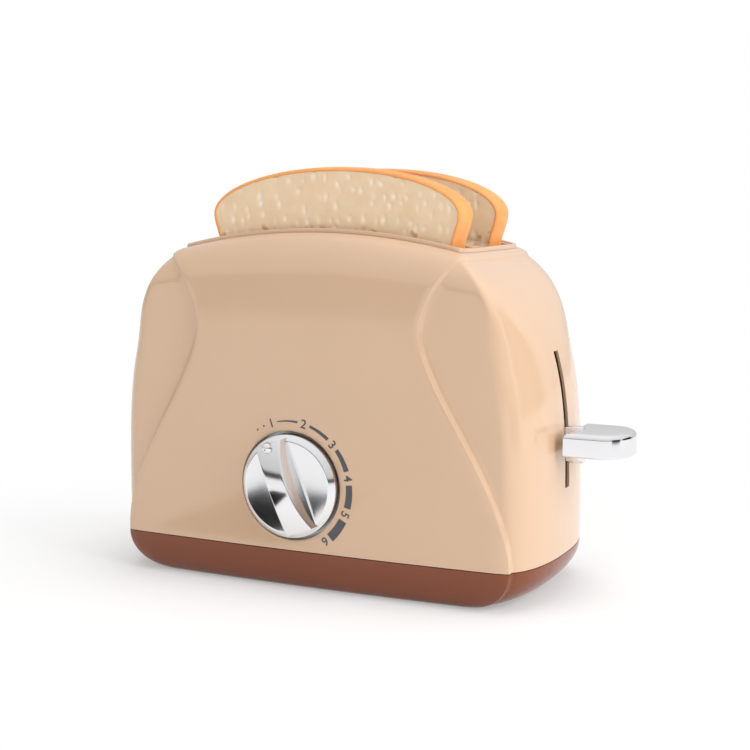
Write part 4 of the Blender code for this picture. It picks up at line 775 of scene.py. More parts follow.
@dataclass
class Housing:
    """The beige shell with its band, knob hole, lever slot, mouth and inner bosses."""

    form: HousingForm
    wall: float = 0.0020
    level_count: int = 96
    inner_level_step: int = 6
    mouth_gap: float = 0.0003
    mouth_round: float = 0.0003
    mouth_insets: Spot = (0.0009, 0.0013)
    knob_centre: Spot = (-0.0055, 0.0400)
    knob_hole_radius: float = 0.0207
    hole_round: float = 0.0004
    slot_half_width: float = 0.0024
    slot_bottom: float = 0.0401
    slot_top: float = 0.0907
    slot_skin: float = 0.0010
    relief_half_width: float = 0.0075
    relief_margin: float = 0.0015
    relief_levels: int = 30
    rod_radius: float = 0.0015
    boss_radius: float = 0.0036
    boss_bottom: float = 0.1010
    post_radius: float = 0.0036
    post_bottom: float = 0.0077
    post_top: float = 0.0340
    rib_thickness: float = 0.0016
    rib_inset: float = 0.0028
    anchor_radius: float = 0.0043
    pilot_radius: float = 0.0015
    pilot_clearance: float = 0.0006
    lever_overrun: float = 0.003
    knob_overruns: Spot = (0.004, 0.006)
    socket_overrun: float = 0.01
    facets: int = 32
    hole_facets: int = 96

    def build(self) -> bpy.types.Object:
        """Make the shell, cut its openings, add its bosses and hang it on the root.

        Returns:
            The shell.
        """
        rises = self.form.rises(self.level_count)
        outside = list(self.form.rings(rises, 0.0))
        inside_rises = np.unique(np.concatenate([rises[::self.inner_level_step], rises[-1:]]))
        inside = list(self.form.rings(inside_rises, -self.wall))[::-1]
        mouth = self.mouth_rings()
        rings = outside + mouth + inside
        shell = new_piece("housing_shell", flatten(rings), skin(rings, closed=True), Finish.SHELL)
        self.add_bosses(shell)
        self.cut_openings(shell)
        resharpen(shell, 32.0)
        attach(shell, "root")
        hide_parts("body_shell")
        return shell

    def rim_ring(self, half_length: float, half_depth: float, lift: float) -> np.ndarray:
        """Return a ring of the rim's plan, scaled, at a height above the arched top."""
        ring, _ = self.form.ring(1.0)
        x = ring[:, 0] * half_length / self.form.rim_half_length
        y = ring[:, 1] * half_depth / self.form.rim_half_depth
        top = self.form.rim_height + self.form.band_top_rise - self.form.arch_drop(x)
        return np.column_stack([x, y, top + lift])

    def mouth_rings(self) -> list[np.ndarray]:
        """Return the rings of the top opening's rounded edge."""
        half_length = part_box("crown_plate")[1].x - self.mouth_insets[0] + self.mouth_gap
        half_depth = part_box("crown_plate")[1].y - self.mouth_insets[1] + self.mouth_gap
        size = self.mouth_round
        return [
            self.rim_ring(half_length + size, half_depth + size, 0.0),
            self.rim_ring(half_length, half_depth, -size),
            self.rim_ring(half_length, half_depth, -self.wall),
        ]

    def add_bosses(self, shell: bpy.types.Object) -> None:
        """Fuse the screw posts, their ribs, the rod bosses and the spring's anchor."""
        tree = BVHTree.FromPolygons(
            [vertex.co for vertex in shell.data.vertices],
            [tuple(face.vertices) for face in shell.data.polygons],
        )
        bosses = []
        for node in SCREWS:
            x, y = plan_centre(node)
            post = round_bar("post", (x, y), self.post_radius, self.post_bottom, self.post_top, Finish.SHELL)
            wall_y = math.copysign(SHELL_HIGH.y - self.rib_inset, y)
            half = self.rib_thickness / 2
            rib_low = (x - half, min(y, wall_y), self.form.parting_height + self.wall * 2)
            rib = box_piece("rib", rib_low, (x + half, max(y, wall_y), self.post_top - half), Finish.SHELL)
            apply_boolean(post, rib, "UNION")
            bosses.append(post)
        for node in RODS:
            bosses.append(self.hanging_boss(tree, plan_centre(node), self.boss_radius, self.boss_bottom))
        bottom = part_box("lift_spring")[1].z + self.mouth_gap
        bosses.append(self.hanging_boss(tree, plan_centre("lift_spring"), self.anchor_radius, bottom))
        apply_boolean(shell, merged(bosses, "bosses"), "UNION")

    def hanging_boss(self, tree: BVHTree, centre: Spot, radius: float, bottom: float) -> bpy.types.Object:
        """Make a boss that ends half way through the wall above it.

        Args:
            tree: The shell's faces, to measure the wall's height.
            centre: The boss's X and Y.
            radius: Its radius.
            bottom: The height of its lower end.

        Returns:
            The boss.
        """
        plan = circle(centre, radius, self.facets, 0.5)
        heights = [tree.ray_cast(Vector((x, y, bottom)), Vector((0, 0, 1)))[0].z for x, y in plan]
        rings = [
            [(x, y, bottom) for x, y in plan],
            [(x, y, z + self.wall / 2) for (x, y), z in zip(plan, heights)],
        ]
        return new_piece("boss", flatten(rings), skin(rings), Finish.SHELL)

    def cut_openings(self, shell: bpy.types.Object) -> None:
        """Cut the knob's hole, the lever's slot, the rod sockets and the screws' pilot holes."""
        front = -SHELL_HIGH.y
        size = self.hole_round
        before, behind = self.knob_overruns
        radii = [(size, -before), (size, 0.0), (size / 3, size / 3), (0.0, size), (0.0, behind)]
        rings = [
            turned_ring(self.knob_centre, self.knob_hole_radius + grow, front + depth, self.hole_facets)
            for grow, depth in radii
        ]
        cutters = [new_piece("knob_hole", flatten(rings), skin(rings), Finish.SHELL)]
        half = self.slot_half_width
        low = (self.form.rim_half_length, -half, self.slot_bottom)
        high = (SHELL_HIGH.x + self.lever_overrun, half, self.slot_top)
        cutters.append(box_piece("lever_slot", low, high, Finish.SHELL))
        cutters.append(self.slot_relief())
        radius = self.rod_radius + self.mouth_gap
        bottom = self.boss_bottom - self.socket_overrun
        for node in RODS:
            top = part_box(node)[1].z + self.mouth_gap
            cutters.append(round_bar("socket", plan_centre(node), radius, bottom, top, Finish.SHELL, 24))
        for node in SCREWS:
            ends = (0.0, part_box(node)[1].z + self.pilot_clearance)
            cutters.append(round_bar("pilot", plan_centre(node), self.pilot_radius, *ends, Finish.SHELL, 16))
        for name in ("left", "right"):
            low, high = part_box(f"timer_screw_{name}")
            centre = ((low.x + high.x) / 2, (low.z + high.z) / 2)
            ends = (low.y - self.mouth_gap, high.y)
            rings = [turned_ring(centre, self.pilot_radius + self.mouth_gap, depth, 16) for depth in ends]
            cutters.append(new_piece("timer_hole", flatten(rings), skin(rings), Finish.SHELL))
        apply_boolean(shell, union_of(cutters), "DIFFERENCE")

    def slot_relief(self) -> bpy.types.Object:
        """Return the cutter that thins the wall behind the lever's slot to a skin."""
        margin = self.relief_margin
        heights = np.linspace(self.slot_bottom - margin, self.slot_top + margin, self.relief_levels)
        rings = []
        for z in heights:
            face = self.form.end_reach(z) - self.slot_skin
            half = self.relief_half_width
            back = face - self.wall * 2
            rings.append([(back, -half, z), (face, -half, z), (face, half, z), (back, half, z)])
        return new_piece("slot_relief", flatten(rings), skin(rings), Finish.SHELL)


def both_sides(strips: Sequence[tuple], count: int) -> list[tuple]:
    """Return the faces of a plate: its front, the same at its back and the sides between.

    Args:
        strips: The faces of the front.
        count: The number of points in the front, which the back repeats.

    Returns:
        All faces.
    """
    edges = {pair: True for face in strips for pair in zip(face, face[1:] + face[:1])}
    sides = [(a, b, b + count, a + count) for a, b in edges if (b, a) not in edges]
    return list(strips) + [tuple(count + corner for corner in reversed(face)) for face in strips] + sides


def box_piece(name: str, low: Sequence[float], high: Sequence[float], finish: Finish) -> bpy.types.Object:
    """Make a plain block between two corners, used to cut or to join."""
    rings = [
        [(low[0], low[1], z), (high[0], low[1], z), (high[0], high[1], z), (low[0], high[1], z)]
        for z in (low[2], high[2])
    ]
    return new_piece(name, flatten(rings), skin(rings), finish)


def rounded_plan(low: Sequence[float], high: Sequence[float], corner: float, segments: int) -> list[Spot]:
    """Return the outline of a rectangle with round corners.

    Args:
        low: The lowest corner.
        high: The highest corner.
        corner: The corners' radius.
        segments: Facets of each corner.

    Returns:
        The outline's points.
    """
    centres = (
        (high[0] - corner, high[1] - corner), (low[0] + corner, high[1] - corner),
        (low[0] + corner, low[1] + corner), (high[0] - corner, low[1] + corner),
    )
    outline = []
    for index, (x, y) in enumerate(centres):
        for step in range(segments + 1):
            turn = math.pi / 2 * (index + step / segments)
            outline.append((x + corner * math.cos(turn), y + corner * math.sin(turn)))
    return outline


@dataclass
class Crown:
    """The arched top plate with its lip, its bread slots and their skirts."""

    housing: Housing
    lip_width: float = 0.0013
    lip_height: float = 0.0015
    thickness: float = 0.0024
    flange: float = 0.0009
    slot_half_length: float = 0.0562
    slot_width: float = 0.0150
    slot_pitch: float = 0.0380
    slot_corner: float = 0.0020
    skirt_wall: float = 0.0008
    skirt_bottom: float = 0.1200
    edge_round: float = 0.0004
    seat_gap: float = 0.00005
    cutter_overruns: Spot = (0.002, 0.004)
    long_side_spans: int = 28

    def build(self) -> bpy.types.Object:
        """Make the plate and hang it on the root.

        Returns:
            The plate.
        """
        low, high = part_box("crown_plate")
        size = self.edge_round
        profile = [
            (-self.flange, -self.flange, -self.thickness),
            (-self.flange, -self.flange, self.seat_gap),
            (0.0, 0.0, self.seat_gap),
            (0.0, 0.0, self.lip_height - size),
            (-size * 0.3, -size * 0.3, self.lip_height - size * 0.3),
            (-size, -size, self.lip_height),
            (-self.lip_width + size, -self.lip_width + size, self.lip_height),
            (-self.lip_width + size * 0.3, -self.lip_width + size * 0.3, self.lip_height - size * 0.3),
            (-self.lip_width, -self.lip_width, self.lip_height - size),
            (-self.lip_width - size * 0.5, -self.lip_width - size * 0.5, self.lip_height / 2),
        ]
        rings = [self.housing.rim_ring(high.x + dx, high.y + dy, lift) for dx, dy, lift in profile]
        faces = skin(rings, caps=False) + self.cap(len(rings[0]), 0)
        faces += self.cap(len(rings[0]), (len(rings) - 1) * len(rings[0]))
        plate = new_piece("crown_top", flatten(rings), faces, Finish.SHELL)
        skirts = [self.skirt(plate, side) for side in (-1, 1)]
        apply_boolean(plate, merged(skirts, "skirts"), "UNION")
        cutters = [self.slot_cutter(side) for side in (-1, 1)]
        apply_boolean(plate, merged(cutters, "slots"), "DIFFERENCE")
        resharpen(plate, 32.0)
        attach(plate, "root")
        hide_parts("crown_plate")
        return plate

    def cap(self, count: int, first: int) -> list[tuple]:
        """Return the strips that close an arched ring from front to back."""
        faces = []
        half = count // 2
        for side in (0, half):
            for step in range(half // 2):
                near, far = side + step, side + half - step
                corners = (near, near + 1, far - 1, far)
                faces.append(tuple(dict.fromkeys(first + corner % count for corner in corners)))
        return faces

    def arch(self, x: float) -> float:
        """Return the height of the arched top at a place along the front."""
        form = self.housing.form
        return form.rim_height + form.band_top_rise - float(form.arch_drop(np.array(x)))

    def outline(self, side: int, growth: float, segments: int = 8) -> list[Spot]:
        """Return one slot's plan, grown by a wall."""
        half = self.slot_width / 2 + growth
        length = self.slot_half_length + growth
        centre = side * self.slot_pitch / 2
        low, high = (-length, centre - half), (length, centre + half)
        plan = rounded_plan(low, high, self.slot_corner + growth, segments)
        return long_sides(plan, self.long_side_spans)

    def skirt(self, plate: bpy.types.Object, side: int) -> bpy.types.Object:
        """Return the wall that hangs round one slot."""
        outline = self.outline(side, self.skirt_wall)
        rings = [
            [(x, y, self.skirt_bottom) for x, y in outline],
            [(x, y, self.arch(x) - self.thickness / 2) for x, y in outline],
        ]
        return new_piece("skirt", flatten(rings), strip_faces(rings), Finish.SHELL)

    def slot_cutter(self, side: int) -> bpy.types.Object:
        """Return the cutter of one slot, with a rounded mouth."""
        size = self.edge_round
        base = self.lip_height / 2
        below, above = self.cutter_overruns
        profile = [(0.0, -size), (size * 0.3, -size * 0.3), (size, 0.0), (size, above)]
        outline = self.outline(side, 0.0)
        rings = [[(x, y, self.skirt_bottom - below) for x, y in outline]]
        for growth, lift in profile:
            grown = self.outline(side, growth)
            rings.append([(x, y, self.arch(x) + base + lift) for x, y in grown])
        return new_piece("slot", flatten(rings), strip_faces(rings), Finish.SHELL)


def long_sides(outline: Sequence[Spot], parts: int) -> list[Spot]:
    """Return a rounded rectangle's outline with points along its two X sides.

    Args:
        outline: The outline, which starts at the end of its first corner's start.
        parts: Spans along each long side.

    Returns:
        The outline with the added points.
    """
    result = []
    for index, (x, y) in enumerate(outline):
        result.append((x, y))
        nx, ny = outline[(index + 1) % len(outline)]
        if abs(nx - x) > LONG_SIDE:
            result += [(x + (nx - x) * part / parts, y + (ny - y) * part / parts) for part in range(1, parts)]
    return result


def strip_faces(rings: Sequence) -> list[tuple]:
    """Return the faces of a lofted slot solid whose ends are closed by strips across Y.

    Args:
        rings: Rings of a slot's outline, all with the same count.

    Returns:
        The side faces and the two ends.
    """
    count = len(rings[0])
    faces = skin(rings, caps=False)
    for level in (0, len(rings) - 1):
        ring = rings[level]
        first = level * count
        back = [index for index in range(count) if ring[index][1] > sum(p[1] for p in ring) / count]
        front = [index for index in range(count) if index not in back]
        back = sorted(back, key=lambda index: ring[index][0])
        front = sorted(front, key=lambda index: ring[index][0])
        for (a, b), (c, d) in zip(zip(back, back[1:]), zip(front, front[1:])):
            faces.append((first + a, first + b, first + d, first + c))
    return faces


@dataclass
class Tray:
    """The red-brown base tray with its lip, screw wells and rod sockets."""

    form: HousingForm
    end_tuck: float = 0.0200
    front_tuck: float = 0.0070
    floor: float = 0.0022
    gap: float = 0.0003
    wall: float = 0.0020
    lip_height: float = 0.0016
    lip_wall: float = 0.0012
    level_count: int = 18
    well_radius: float = 0.0032
    well_depth: float = 0.0060
    well_wall: float = 0.0014
    boss_radius: float = 0.0036
    boss_top: float = 0.0200
    rod_bottom: float = 0.0057
    pilot_radius: float = 0.0015
    socket_radius: float = 0.0018
    overrun: float = 0.002
    pattern_rises: Spot = (0.0, 0.01)

    def build(self) -> bpy.types.Object:
        """Make the tray and hang it on the root.

        Returns:
            The tray.
        """
        top = self.form.parting_height - self.gap
        lip_outer = self.wall + self.gap
        inner = lip_outer + self.lip_wall
        turns = np.linspace(0.0, math.pi / 2, self.level_count)
        outside = [self.ring(0.0, top * (1 - math.cos(turn)), 0.0, top) for turn in turns]
        lip_top = top + self.lip_height
        corners = ((lip_outer, top), (lip_outer, lip_top), (inner, lip_top))
        lip = [self.flat_ring(inset, height) for inset, height in corners]
        depths = [self.floor + (top - self.floor) * (1 - math.cos(turn)) for turn in turns[::-2]]
        inside = [self.ring(inner, z, self.floor, top) for z in depths + [self.floor]]
        rings = outside + lip + inside
        tray = new_piece("base_tray_body", flatten(rings), skin(rings), Finish.BASE)
        self.add_bosses(tray)
        resharpen(tray, 32.0)
        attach(tray, "root")
        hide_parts("base_tray")
        return tray

    def flat_ring(self, inset: float, height: float) -> np.ndarray:
        """Return the parting line's plan moved inwards, at a height."""
        pattern = self.form.rings(np.array(self.pattern_rises), 0.0)[0]
        plan = pattern[:, :2]
        along = np.roll(plan, -1, axis=0) - np.roll(plan, 1, axis=0)
        normals = np.column_stack([along[:, 1], -along[:, 0]])
        normals /= np.linalg.norm(normals, axis=1, keepdims=True)
        outward = np.sign((normals * plan).sum())
        moved = plan - normals * outward * inset
        return np.column_stack([moved, np.full(len(moved), height)])

    def ring(self, inset: float, height: float, floor: float, top: float) -> np.ndarray:
        """Return a ring of the tray's wall, which tucks in towards the bottom.

        Args:
            inset: The distance inside the parting line.
            height: The ring's height.
            floor: The height where the wall starts.
            top: The height of the parting line.

        Returns:
            The ring's points.
        """
        pattern = self.flat_ring(inset, height)
        share = 1 - (height - floor) / (top - floor)
        rise = math.sqrt(max(0.0, 1 - min(max(share, 0.0), 1.0) ** 2))
        x_share = 1 - (1 - rise) * self.end_tuck / pattern[:, 0].max()
        y_share = 1 - (1 - rise) * self.front_tuck / pattern[:, 1].max()
        return pattern * (x_share, y_share, 1.0)

    def add_bosses(self, tray: bpy.types.Object) -> None:
        """Fuse the screw wells and rod sockets to the tray's floor, and open them."""
        bosses, cutters = [], []
        mid = self.floor / 2
        depth, radius, spare = self.well_depth, self.well_radius, self.overrun
        top = depth + self.well_wall
        for node in SCREWS:
            centre = plan_centre(node)
            bosses.append(round_bar("well", centre, radius + self.well_wall, mid, top, Finish.BASE))
            cutters.append(round_bar("bore", centre, radius, -spare, depth, Finish.BASE))
            ends = (depth - spare / 2, top + spare)
            cutters.append(round_bar("hole", centre, self.pilot_radius, *ends, Finish.BASE, 16))
        for node in RODS:
            centre = plan_centre(node)
            bosses.append(round_bar("boss", centre, self.boss_radius, mid, self.boss_top, Finish.BASE))
            ends = (self.rod_bottom, self.boss_top + spare)
            cutters.append(round_bar("socket", centre, self.socket_radius, *ends, Finish.BASE, 24))
        apply_boolean(tray, merged(bosses, "bosses"), "UNION")
        for cutter in cutters:
            cutter.name = "opening"
        apply_boolean(tray, union_of(cutters), "DIFFERENCE")


def union_of(things: Sequence[bpy.types.Object]) -> bpy.types.Object:
    """Join overlapping objects into one by exact unions, one after the other."""
    first = things[0]
    rest = merged(list(things[1:]), "rest")
    apply_boolean(first, rest, "UNION")
    return first


# Knob and dial


@dataclass
class Knob:
    """The plated timer knob: a bevelled disc, a domed grip and a pointer ball."""

    centre: Spot = (-0.0055, 0.0400)
    radius: float = 0.0196
    face_radius: float = 0.0174
    edge_proud: float = 0.0011
    face_proud: float = 0.0029
    grip_proud: float = 0.0097
    grip_end_rise: float = 0.0022
    foot_half_width: float = 0.0064
    crest_half_width: float = 0.0037
    pointer_radius: float = 0.0022
    pointer_place: float = 0.0160
    angle: float = math.radians(111.7)
    edge_round: float = 0.00035
    bore_radius: float = 0.0019
    grip_sink: float = 0.0008
    grip_reach_share: float = 0.9995
    segments: int = 128
    stations: int = 96

    @property
    def panel(self) -> float:
        """Return the Y of the front panel's face."""
        return -SHELL_HIGH.y

    def build(self) -> bpy.types.Object:
        """Make the knob and hang it on its body.

        Returns:
            The knob.
        """
        disc = self.disc()
        apply_boolean(disc, self.grip(), "UNION")
        apply_boolean(disc, self.ball(), "UNION")
        disc.name = "knob_plated"
        resharpen(disc, 26.0)
        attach(disc, "knob")
        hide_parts("timer_knob")
        return disc

    def disc(self) -> bpy.types.Object:
        """Return the disc, a turned profile with rounded edges and a bore for the arbor."""
        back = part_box("timer_knob")[1].y
        edge = self.panel - self.edge_proud
        face = self.panel - self.face_proud
        size = self.edge_round
        profile = [
            (self.bore_radius, back), (self.radius - size, back), (self.radius, back - size),
            (self.radius, edge + size), (self.radius - size * 0.3, edge + size * 0.1),
            (self.radius - size, edge - size * 0.3),
            (self.face_radius + size, face + size * 0.4), (self.face_radius + size * 0.3, face + size * 0.1),
            (self.face_radius - size, face), (self.bore_radius, face),
        ]
        rings = [turned_ring(self.centre, radius, depth, self.segments) for radius, depth in profile]
        return new_piece("disc", flatten(rings), skin(rings, closed=True), Finish.CHROME)

    def dome(self, reach: np.ndarray) -> np.ndarray:
        """Return the Y of the dome at a distance from the axis."""
        crest = self.panel - self.grip_proud
        edge = self.panel - self.face_proud - self.grip_end_rise
        rise = edge - crest
        radius = (self.face_radius + self.radius) / 2
        sphere = (radius ** 2 + rise ** 2) / (2 * rise)
        return crest + sphere - np.sqrt(np.maximum(sphere ** 2 - reach ** 2, 0.0))

    def grip(self) -> bpy.types.Object:
        """Return the grip: a tapered bar whose crest follows the dome, with round edges."""
        face = self.panel - self.face_proud
        crest = self.panel - self.grip_proud
        slope = (self.foot_half_width - self.crest_half_width) / (face - crest)
        reach_end = (self.face_radius + self.radius) / 2
        foot_y = face + self.grip_sink
        half_foot = self.foot_half_width + slope * (foot_y - face)
        half_length = math.sqrt(reach_end ** 2 - self.foot_half_width ** 2) * self.grip_reach_share
        rings = []
        for place in np.linspace(-1.0, 1.0, self.stations):
            along = place * half_length
            edge = self.crest_edge(along, face, slope)
            rings.append(self.section(along, edge, half_foot, foot_y))
        return new_piece("grip", flatten(rings), skin(rings), Finish.CHROME)

    def crest_edge(self, along: float, face: float, slope: float) -> Spot:
        """Return the half width and Y at which the flank meets the dome at a station."""
        half = self.crest_half_width
        for _ in range(30):
            depth = float(self.dome(np.array(math.hypot(along, half))))
            half = self.foot_half_width - slope * (face - depth)
        return half, depth

    def section(self, along: float, edge: Spot, half_foot: float, foot_y: float) -> list[Point]:
        """Return one cross-section of the grip.

        Args:
            along: The station's distance from the axis along the grip.
            edge: The half width and Y of the crest's edge.
            half_foot: The half width at the foot.
            foot_y: The Y of the foot, inside the disc.

        Returns:
            The section's points in space.
        """
        half, depth = edge
        size = self.edge_round
        flank = Vector((half_foot - half, foot_y - depth)).normalized()
        across = [(-half_foot, foot_y)]
        corner = []
        inner = half - size
        inner_depth = float(self.dome(np.array(math.hypot(along, inner))))
        peak = Vector((half, depth))
        start = peak + flank * size
        end = Vector((inner, inner_depth))
        for step in range(5):
            share = step / 4
            point = start * (1 - share) ** 2 + peak * 2 * share * (1 - share) + end * share ** 2
            corner.append((point.x, point.y))
        crest = []
        for step in range(1, 12):
            place = inner * (1 - step / 6)
            crest.append((place, float(self.dome(np.array(math.hypot(along, place))))))
        left_corner = [(-x, y) for x, y in reversed(corner)]
        profile = [(half_foot, foot_y)] + corner + crest + left_corner + across
        axis = Vector((math.cos(self.angle), 0.0, math.sin(self.angle)))
        side = Vector((-axis.z, 0.0, axis.x))
        centre = Vector((self.centre[0], 0.0, self.centre[1]))
        return [tuple(centre + axis * along + side * x + Vector((0.0, y, 0.0))) for x, y in profile]

    def ball(self) -> bpy.types.Object:
        """Return the pointer ball near one end of the grip."""
        x = self.centre[0] + self.pointer_place * math.cos(self.angle)
        z = self.centre[1] + self.pointer_place * math.sin(self.angle)
        depth = self.panel - self.face_proud - self.grip_end_rise - self.pointer_radius / 2
        radius = self.pointer_radius
        rings = [
            turned_ring((x, z), radius * math.sin(turn), depth + radius * math.cos(turn), 40)
            for turn in np.linspace(0.0, math.pi, 26)[1:-1]
        ]
        return new_piece("ball", flatten(rings), skin(rings), Finish.CHROME)


def turned_ring(centre: Spot, radius: float, depth: float, segments: int) -> list[Point]:
    """Return a ring round a Y axis through a point of the front plane."""
    return [(x, depth, z) for x, z in circle(centre, radius, segments)]


@dataclass
class Dial:
    """The printed numbers, arcs and dots round the knob."""

    form: HousingForm
    centre: Spot = (-0.0055, 0.0400)
    radius: float = 0.0245
    first_angle: float = 108.6
    step_angle: float = -32.4
    number_height: float = 0.0031
    number_gap: float = 6.0
    arc_widths: tuple[Spot, ...] = (
        (0.0004, 0.0008), (0.0010, 0.0014), (0.0016, 0.0021), (0.0025, 0.0027), (0.0033, 0.0035))
    dot_angles: tuple[float, ...] = (116.8, 124.0)
    dot_radius: float = 0.00038
    thickness: float = 0.00005
    letter_share: float = 0.66
    letter_growth: float = 0.00008

    def build(self) -> list[bpy.types.Object]:
        """Make the numbers, arcs and dots and hang them on the root.

        Returns:
            The printed pieces.
        """
        pieces = [self.number(index) for index in range(6)]
        pieces += [self.arc(index) for index in range(5)]
        pieces += [self.dot(index) for index in range(len(self.dot_angles))]
        for piece in pieces:
            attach(piece, "root")
        return pieces

    def panel(self, x: float) -> float:
        """Return the Y of the front panel at a place along it."""
        bow = 1 - self.form.bow_share * (x / self.form.half_length) ** 2
        return -(self.form.half_depth * bow + self.form.band_rise)

    def on_dial(self, angle: float, reach: float) -> Spot:
        """Return a place in the front plane by its angle and distance from the knob's axis."""
        return self.centre[0] + reach * math.cos(angle), self.centre[1] + reach * math.sin(angle)

    def plate(self, name: str, outline: Sequence[Spot], strips: Sequence[tuple]) -> bpy.types.Object:
        """Return a thin plate of ink that follows the panel.

        Args:
            name: The piece's name.
            outline: The points in the front plane.
            strips: The faces of its front.

        Returns:
            The plate.
        """
        count = len(outline)
        points = [(x, self.panel(x) - self.thickness, z) for x, z in outline]
        points += [(x, self.panel(x) + self.thickness, z) for x, z in outline]
        return new_piece(name, points, both_sides(strips, count), Finish.INK)

    def arc(self, index: int) -> bpy.types.Object:
        """Return the arc between two numbers, which thickens along its way."""
        start = self.first_angle + self.step_angle * index - self.number_gap
        end = self.first_angle + self.step_angle * (index + 1) + self.number_gap
        first, last = self.arc_widths[index]
        parts = 24
        outline = []
        for step in range(parts + 1):
            share = step / parts
            turn = math.radians(start + (end - start) * share)
            width = first + (last - first) * share
            outline.append(self.on_dial(turn, self.radius + width / 2))
            outline.append(self.on_dial(turn, self.radius - width / 2))
        strips = [(2 * step, 2 * step + 1, 2 * step + 3, 2 * step + 2) for step in range(parts)]
        return self.plate(f"dial_arc_{index + 1}", outline, strips)

    def dot(self, index: int) -> bpy.types.Object:
        """Return one of the dots before the first number."""
        middle = self.on_dial(math.radians(self.dot_angles[index]), self.radius)
        outline = circle(middle, self.dot_radius, 16)
        return self.plate(f"dial_dot_{index + 1}", outline, [tuple(range(len(outline)))])

    def number(self, index: int) -> bpy.types.Object:
        """Return one number, turned to stand along the dial's radius."""
        curve = bpy.data.curves.new("number", "FONT")
        curve.body = str(index + 1)
        curve.align_x = "CENTER"
        curve.align_y = "CENTER"
        curve.size = self.number_height / self.letter_share
        curve.extrude = 0.0
        curve.offset = self.letter_growth
        holder = bpy.data.objects.new("number", curve)
        bpy.context.scene.collection.objects.link(holder)
        graph = bpy.context.evaluated_depsgraph_get()
        mesh = bpy.data.meshes.new_from_object(holder.evaluated_get(graph), depsgraph=graph)
        angle = math.radians(self.first_angle + self.step_angle * index)
        lean = angle - math.pi / 2
        flat = np.array([vertex.co[:2] for vertex in mesh.vertices])
        flat -= (flat.min(axis=0) + flat.max(axis=0)) / 2
        x, z = self.on_dial(angle, self.radius)
        cosine, sine = math.cos(lean), math.sin(lean)
        outline = [(x + a * cosine - b * sine, z + a * sine + b * cosine) for a, b in flat]
        strips = [tuple(face.vertices) for face in mesh.polygons]
        bpy.data.objects.remove(holder, do_unlink=True)
        return self.plate(f"dial_number_{index + 1}", outline, strips)


# Lever


@dataclass
class Lever:
    """The plated tab and its neck."""

    left: float = 0.0910
    round_length: float = 0.0120
    top_round: float = 0.0022
    bottom_round: float = 0.0010
    crown: float = 0.0003
    neck_half_width: float = 0.0020
    neck_left: float = 0.0783
    neck_bottom: float = 0.0498
    neck_top: float = 0.0633
    bottom: float = 0.0538
    top: float = 0.0629
    end_power: float = 0.8
    neck_corner: float = 0.0009
    neck_overlap: float = 0.004
    socket_half_width: float = 0.0012
    socket_heights: Spot = (0.0522, 0.0609)
    socket_overrun: float = 0.002
    socket_gap: float = 0.0003

    def outline(self, inset: float) -> list[Spot]:
        """Return the tab's plan, moved inwards."""
        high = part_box("lift_lever")[1]
        half = high.y
        straight = high.x - self.round_length
        points = []
        for step in range(13):
            points.append((self.left + (straight - self.left) * step / 12, -half))
        for step in range(1, 48):
            turn = math.pi * step / 48 - math.pi / 2
            x = straight + self.round_length * math.cos(turn) ** self.end_power
            points.append((x, half * math.sin(turn)))
        for step in range(13):
            points.append((straight + (self.left - straight) * step / 12, half))
        for step in range(1, 16):
            points.append((self.left, half - 2 * half * step / 16))
        moved = []
        for index, point in enumerate(points):
            before, after = points[index - 1], points[(index + 1) % len(points)]
            first = Vector((point[0] - before[0], point[1] - before[1])).normalized()
            second = Vector((after[0] - point[0], after[1] - point[1])).normalized()
            normals = [Vector((first.y, -first.x)), Vector((second.y, -second.x))]
            mean = (normals[0] + normals[1]).normalized()
            reach = inset / max(mean.dot(normals[0]), 0.5)
            moved.append((point[0] - mean.x * reach, point[1] - mean.y * reach))
        return moved

    def build(self) -> bpy.types.Object:
        """Make the lever and hang it on the carriage.

        Returns:
            The lever.
        """
        rings = []
        for step in range(7):
            turn = math.pi / 2 * step / 6
            inset = self.bottom_round * (1 - math.sin(turn))
            height = self.bottom + self.bottom_round * (1 - math.cos(turn))
            rings.append([(x, y, height) for x, y in self.outline(inset)])
        for step in range(11):
            turn = math.pi / 2 * step / 10
            inset = self.top_round * (1 - math.cos(turn))
            height = self.top - self.crown - self.top_round * (1 - math.sin(turn)) * 0.9
            rings.append([(x, y, height) for x, y in self.outline(inset)])
        base = rings[16]
        middle = sum(point[0] for point in base) / len(base)
        for share in (0.8, 0.6, 0.4, 0.2):
            lift = self.top - self.crown * share ** 2
            rings.append([(middle + (x - middle) * share, y * share, lift) for x, y, _ in base])
        tab = new_piece("lever_plated", flatten(rings), skin(rings), Finish.CHROME)
        apply_boolean(tab, self.neck(), "UNION")
        apply_boolean(tab, self.socket(), "DIFFERENCE")
        resharpen(tab, 32.0)
        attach(tab, "carriage")
        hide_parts("lift_lever")
        return tab

    def neck(self) -> bpy.types.Object:
        """Return the neck, a block with rounded long edges."""
        half = self.neck_half_width
        outline = rounded_plan((-half, self.neck_bottom), (half, self.neck_top), self.neck_corner, 6)
        rings = [[(x, y, z) for y, z in outline] for x in (self.neck_left, self.left + self.neck_overlap)]
        return new_piece("neck", flatten(rings), skin(rings), Finish.CHROME)

    def socket(self) -> bpy.types.Object:
        """Return the cutter of the socket that takes the carriage's arm."""
        half = self.socket_half_width
        bottom, top = self.socket_heights
        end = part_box("bread_carriage")[1].x + self.socket_gap
        low = (self.neck_left - self.socket_overrun, -half, bottom)
        return box_piece("socket", low, (end, half, top), Finish.CHROME)


# Bread


